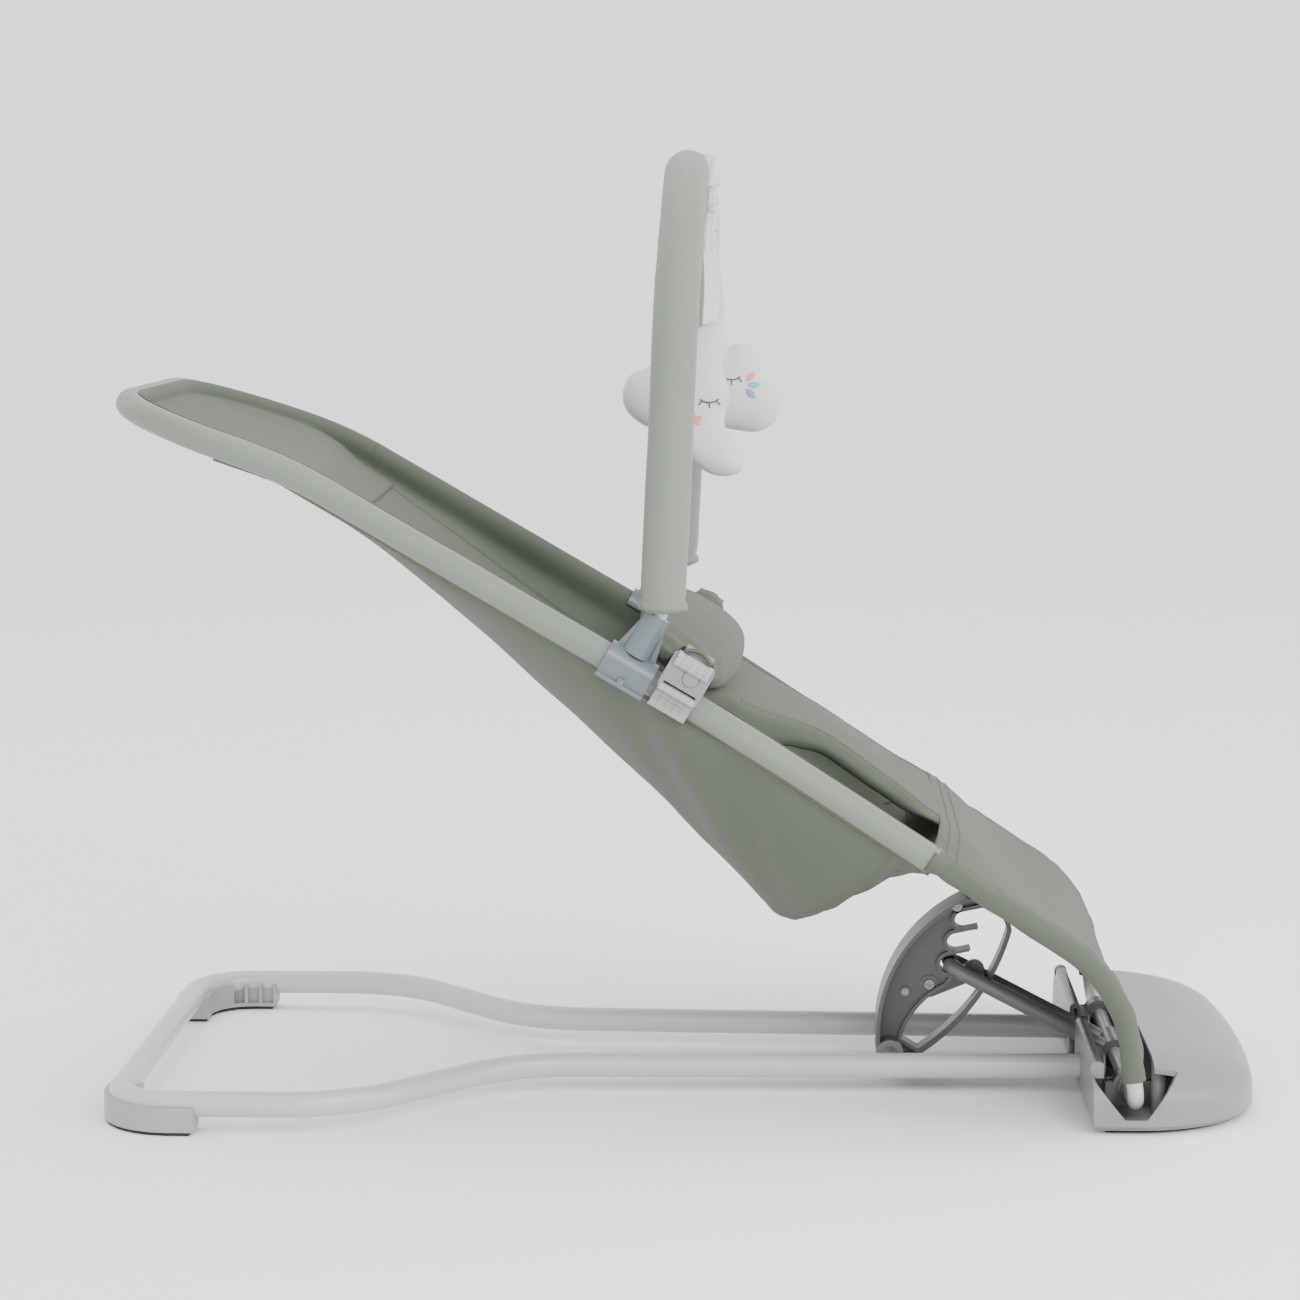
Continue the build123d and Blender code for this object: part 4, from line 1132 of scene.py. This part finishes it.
def closed_curve(stops, count):
    """Points on a smooth closed curve through the stops."""
    points = []
    n = len(stops)
    for k in range(n):
        p0, p1, p2, p3 = (Vector(stops[(k + d) % n]) for d in (-1, 0, 1, 2))
        for i in range(count):
            t = i / count
            square, cube = 2 * p0 - 5 * p1 + 4 * p2 - p3, 3 * p1 - p0 - 3 * p2 + p3
            points.append(0.5 * (2 * p1 + (p2 - p0) * t + square * t ** 2 + cube * t ** 3))
    return points


class Stuffed:
    """A pillow shape from a flat outline in x and z, at a given y."""

    def __init__(self, name, stops, centre, half_thick, shoulder):
        self.rim = [p + Vector(centre[::2]) for p in closed_curve(stops, 9)]
        self.y, self.half_thick, self.shoulder = centre[1], half_thick, shoulder
        self.name = name

    def from_rim(self, p):
        best = 1.0
        for a, b in zip(self.rim, self.rim[1:] + self.rim[:1]):
            along = b - a
            t = max(0.0, min(1.0, (p - a).dot(along) / along.length_squared))
            best = min(best, (a + along * t - p).length)
        return best

    def height(self, p):
        share = min(1.0, self.from_rim(p) / self.shoulder)
        return self.half_thick * sqrt(max(0.0, 1 - (1 - share) ** 2))

    def on_front(self, x, z, out=0.0004):
        p = Vector((x, z))
        return Vector((x, self.y - self.height(p) - out, z))

    def inside(self, p):
        crossings = 0
        for a, b in zip(self.rim, self.rim[1:] + self.rim[:1]):
            if (a.y > p.y) != (b.y > p.y) and p.x < a.x + (b.x - a.x) * (p.y - a.y) / (b.y - a.y):
                crossings += 1
        return crossings % 2 == 1

    def build(self, finish, pitch=0.0032):
        low = Vector((min(p.x for p in self.rim), min(p.y for p in self.rim)))
        high = Vector((max(p.x for p in self.rim), max(p.y for p in self.rim)))
        flat = list(self.rim)
        for i in range(int((high.x - low.x) / pitch) + 1):
            for j in range(int((high.y - low.y) / pitch) + 1):
                p = low + Vector(((i + 0.5 * (j % 2)) * pitch, j * pitch))
                if self.inside(p) and self.from_rim(p) > 0.0014:
                    flat.append(p)
        n = len(self.rim)
        edges = [(k, (k + 1) % n) for k in range(n)]
        verts, _, faces, *_ = delaunay_2d_cdt(flat, edges, [], 1, 1e-7)
        rim_count = n
        points, flat_uv, front, back = [], [], [], []
        for k, p in enumerate(verts):
            lift = 0.0 if k < rim_count else self.height(p)
            plush_lift = lift * (1 + ripple((p.x, p.y, self.y), 0.02, 0.05, 3.0))
            front.append(len(points))
            points.append(Vector((p.x, self.y - plush_lift, p.y)))
            flat_uv.append((p.x, p.y))
            if k < rim_count:
                back.append(front[-1])
            else:
                back.append(len(points))
                points.append(Vector((p.x, self.y + plush_lift, p.y)))
                flat_uv.append((p.x, p.y))
        all_faces = [tuple(front[v] for v in f) for f in faces]
        all_faces += [tuple(back[v] for v in reversed(f)) for f in faces]
        return mesh_piece(self.name, points, all_faces, finish, flat_uv)


def thread_line(name, points, radius, finish, sides=8):
    smooth = [points[0]]
    for a, b in zip(points, points[1:]):
        smooth += [a.lerp(b, k / 3) for k in range(1, 4)]
    return tube_piece(name, smooth, radius, finish, sides, None, (0, 1, 0.01))


def satin_leaf(name, toy, x, z, length, width, angle, finish):
    """A small padded oval of satin stitch."""
    points, faces = [], []
    rows, around = 9, 12
    for i in range(rows):
        t = i / (rows - 1)
        half = width * sin(pi * t) ** 0.7
        for j in range(around):
            a = 2 * pi * j / around
            u, v = (t - 0.5) * length, cos(a) * half
            px = x + u * cos(angle) - v * sin(angle)
            pz = z + u * sin(angle) + v * cos(angle)
            p = toy.on_front(px, pz, 0.0001)
            points.append(p + Vector((0, -0.0006 * sin(a) * sin(pi * t), 0)))
    for i in range(rows - 1):
        for j in range(around):
            k = (j + 1) % around
            faces.append((i * around + j, i * around + k, (i + 1) * around + k, (i + 1) * around + j))
    return mesh_piece(name, points, faces, finish)


cloud_stops = [
    (-0.0650, -0.0040), (-0.0590, 0.0080), (-0.0480, 0.0130), (-0.0400, 0.0180), (-0.0370, 0.0300),
    (-0.0240, 0.0390), (-0.0060, 0.0400), (0.0060, 0.0330), (0.0160, 0.0300), (0.0270, 0.0330),
    (0.0390, 0.0280), (0.0440, 0.0160), (0.0440, 0.0050), (0.0540, -0.0020), (0.0600, -0.0140),
    (0.0550, -0.0290), (0.0410, -0.0370), (0.0200, -0.0350), (-0.0000, -0.0320), (-0.0200, -0.0350),
    (-0.0400, -0.0350), (-0.0550, -0.0280), (-0.0640, -0.0170),
]
moon_stops = [
    (0.0060, 0.0570), (-0.0040, 0.0560), (-0.0170, 0.0460), (-0.0270, 0.0280), (-0.0320, 0.0060),
    (-0.0300, -0.0180), (-0.0200, -0.0400), (-0.0030, -0.0550), (0.0130, -0.0585), (0.0240, -0.0540),
    (0.0250, -0.0430), (0.0180, -0.0300), (0.0115, -0.0200), (0.0125, -0.0080), (0.0155, 0.0010),
    (0.0130, 0.0130), (0.0095, 0.0240), (0.0125, 0.0350), (0.0120, 0.0480),
]
cloud_low, cloud_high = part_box("toy_cloud")
moon_low, moon_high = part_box("toy_moon")
cloud_mid, moon_mid = (cloud_low + cloud_high) / 2, (moon_low + moon_high) / 2
cloud = Stuffed("stuffed_cloud", cloud_stops, (cloud_mid.x + 0.003, cloud_mid.y, cloud_mid.z), 0.0165, 0.024)
moon = Stuffed("stuffed_moon", moon_stops, (0.0150, moon_mid.y, moon_mid.z), 0.0120, 0.017)
for toy, node in ((cloud, "toy_cloud"), (moon, "toy_moon")):
    body = node[4:]
    piece = toy.build(plush)
    finish_soft(piece, body, "plush", node)


# %% [markdown]
# ## Sleeping faces
# Each toy has a closed eye of dark thread and two or three small satin leaves.
# They are real raised thread, laid on the stuffed surface.

# %% Faces
def face(toy, body, eye_x, eye_z, size, leaves):
    eye = []
    for k in range(9):
        a = pi * (1.12 + 0.76 * k / 8)
        eye.append(toy.on_front(eye_x + cos(a) * size, eye_z + sin(a) * size * 0.55, 0.0002))
    finish_soft(thread_line(body + "_eyelid", eye, 0.0007, threads["lash"]), body, "plush")
    for k, a in enumerate((1.25, 1.5, 1.75)):
        inner = Vector((eye_x + cos(pi * a) * size, eye_z + sin(pi * a) * size * 0.55))
        outer = inner + Vector((cos(pi * a), sin(pi * a))) * size * 0.55
        lash = [toy.on_front(*inner.lerp(outer, t / 3), 0.0002) for t in range(4)]
        finish_soft(thread_line(f"{body}_lash_{k}", lash, 0.0006, threads["lash"]), body, "plush")
    for k, (dx, dz, angle, colour) in enumerate(leaves):
        place = (eye_x + dx, eye_z + dz)
        leaf = satin_leaf(f"{body}_leaf_{k}", toy, *place, 0.0105, 0.0026, angle, threads[colour])
        finish_soft(leaf, body, "plush")


face(moon, "moon", 0.0150, moon_mid.z + 0.002, 0.0075, [
    (-0.010, -0.017, 0.4, "coral"), (-0.010, -0.017, 1.97, "coral"),
])
face(cloud, "cloud", 0.0300, cloud_mid.z + 0.009, 0.0075, [
    (0.0150, -0.0020, 0.75, "coral"), (0.0175, -0.0085, 0.0, "teal"), (0.0150, -0.0150, -0.80, "lilac"),
])

# %% [markdown]
# ## Ribbons
# Each toy hangs on a white ribbon that is gathered at the bar and opens out
# lower down. The upper end belongs to the bar; from its eye down, the ribbon
# swings with the toy.

# %% Ribbons


def ribbon_piece(name, top, bottom, wide_top, wide_low, seed):
    rows = []
    steps = 34
    for i in range(steps + 1):
        t = i / steps
        centre = top.lerp(bottom, t)
        wide = wide_top + (wide_low - wide_top) * ease(t * 1.2)
        row = []
        for j in range(13):
            a = -1 + 2 * j / 12
            twist = 1.1 + 0.35 * sin(t * 2.4 + seed)
            pleat = 0.0012 * sin(a * 7 + seed * 3) * (1 - 0.6 * t)
            offset = Vector((sin(twist) * a * wide, cos(twist) * a * wide, 0)) + Vector((pleat, 0, 0))
            row.append(centre + offset + Vector((0.0010 * sin(t * 9 + seed), 0, 0)))
        rows.append(row)
    piece = grid_piece(name, rows, satin)
    return thicken(piece, 0.0008)


def knot_piece(name, place, size):
    line = []
    for k in range(49):
        a = 2 * pi * k / 48
        reach = 2 + cos(3 * a)
        line.append(place + Vector((reach * cos(2 * a), reach * sin(2 * a), sin(3 * a) * 1.3)) * (size / 3))
    return tube_piece(name, line, size * 0.45, satin, 10)


for node, toy, seed in (("cloud_ribbon", cloud, 0.4), ("moon_ribbon", moon, 1.3)):
    body = node.split("_")[0]
    low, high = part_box(node)
    x, y = (low.x + high.x) / 2, (low.y + high.y) / 2
    eye = Vector((x, y, high.z - 0.002))
    crown_z = max(p.y for p in toy.rim if abs(p.x - x) < 0.014)
    foot = Vector((x, toy.y, crown_z - 0.002))
    hanging = ribbon_piece(body + "_ribbon_band", eye, foot, 0.0024, 0.0068, seed)
    finish_soft(hanging, body, "ribbon", node)
    finish_soft(knot_piece(body + "_ribbon_knot", eye + Vector((0.0012, 0, -0.016)), 0.0030), body, "ribbon")

for y, name, seed in ((0.080, "cloud", 0.2), (-0.038, "moon", 0.9)):
    over = max(0.0, abs(y) - (bar_half_top - bar_corner))
    bar_z = bar_top[1] - bar_corner + sqrt(bar_corner ** 2 - over ** 2)
    x = bar_top[0] + 0.0170
    tab_top, tab_foot = Vector((x - 0.001, y, bar_z + 0.015)), Vector((x + 0.001, y, bar_z - 0.0085))
    tab = ribbon_piece(name + "_ribbon_tab", tab_top, tab_foot, 0.0052, 0.0026, seed)
    if name == "cloud":
        finish_soft(tab, "toy_bar", "ribbon", "toy_ribbon_tabs")
    else:
        finish_soft(tab, "toy_bar", "ribbon")

# %% [markdown]
# ## Floor
# A plain pale sheet, far larger than the view, so that its edge never shows.

# %% Floor
floor_points = [(-30, -30, -0.0004), (30, -30, -0.0004), (30, 30, -0.0004), (-30, 30, -0.0004)]
floor = mesh_piece("floor", floor_points, [(0, 1, 2, 3)], floor_finish.material)

# %% [markdown]
# ## The cloth as flat pieces
# The flat sizes and areas are read off the finished cloth, not off a pattern.
# They are fixed numbers.


ribbons = {
    "cloud": ((0.0138, 0.101), 0.00133506, (0.0122, 0.024), 0.000285061),
    "moon": ((0.0130, 0.103), 0.001291, (0.0110, 0.024), 0.000250162),
}
for toy, (band_flat, band_area, _, _) in ribbons.items():
    tab, knot = toy + "_ribbon_tab", toy + "_ribbon_knot"
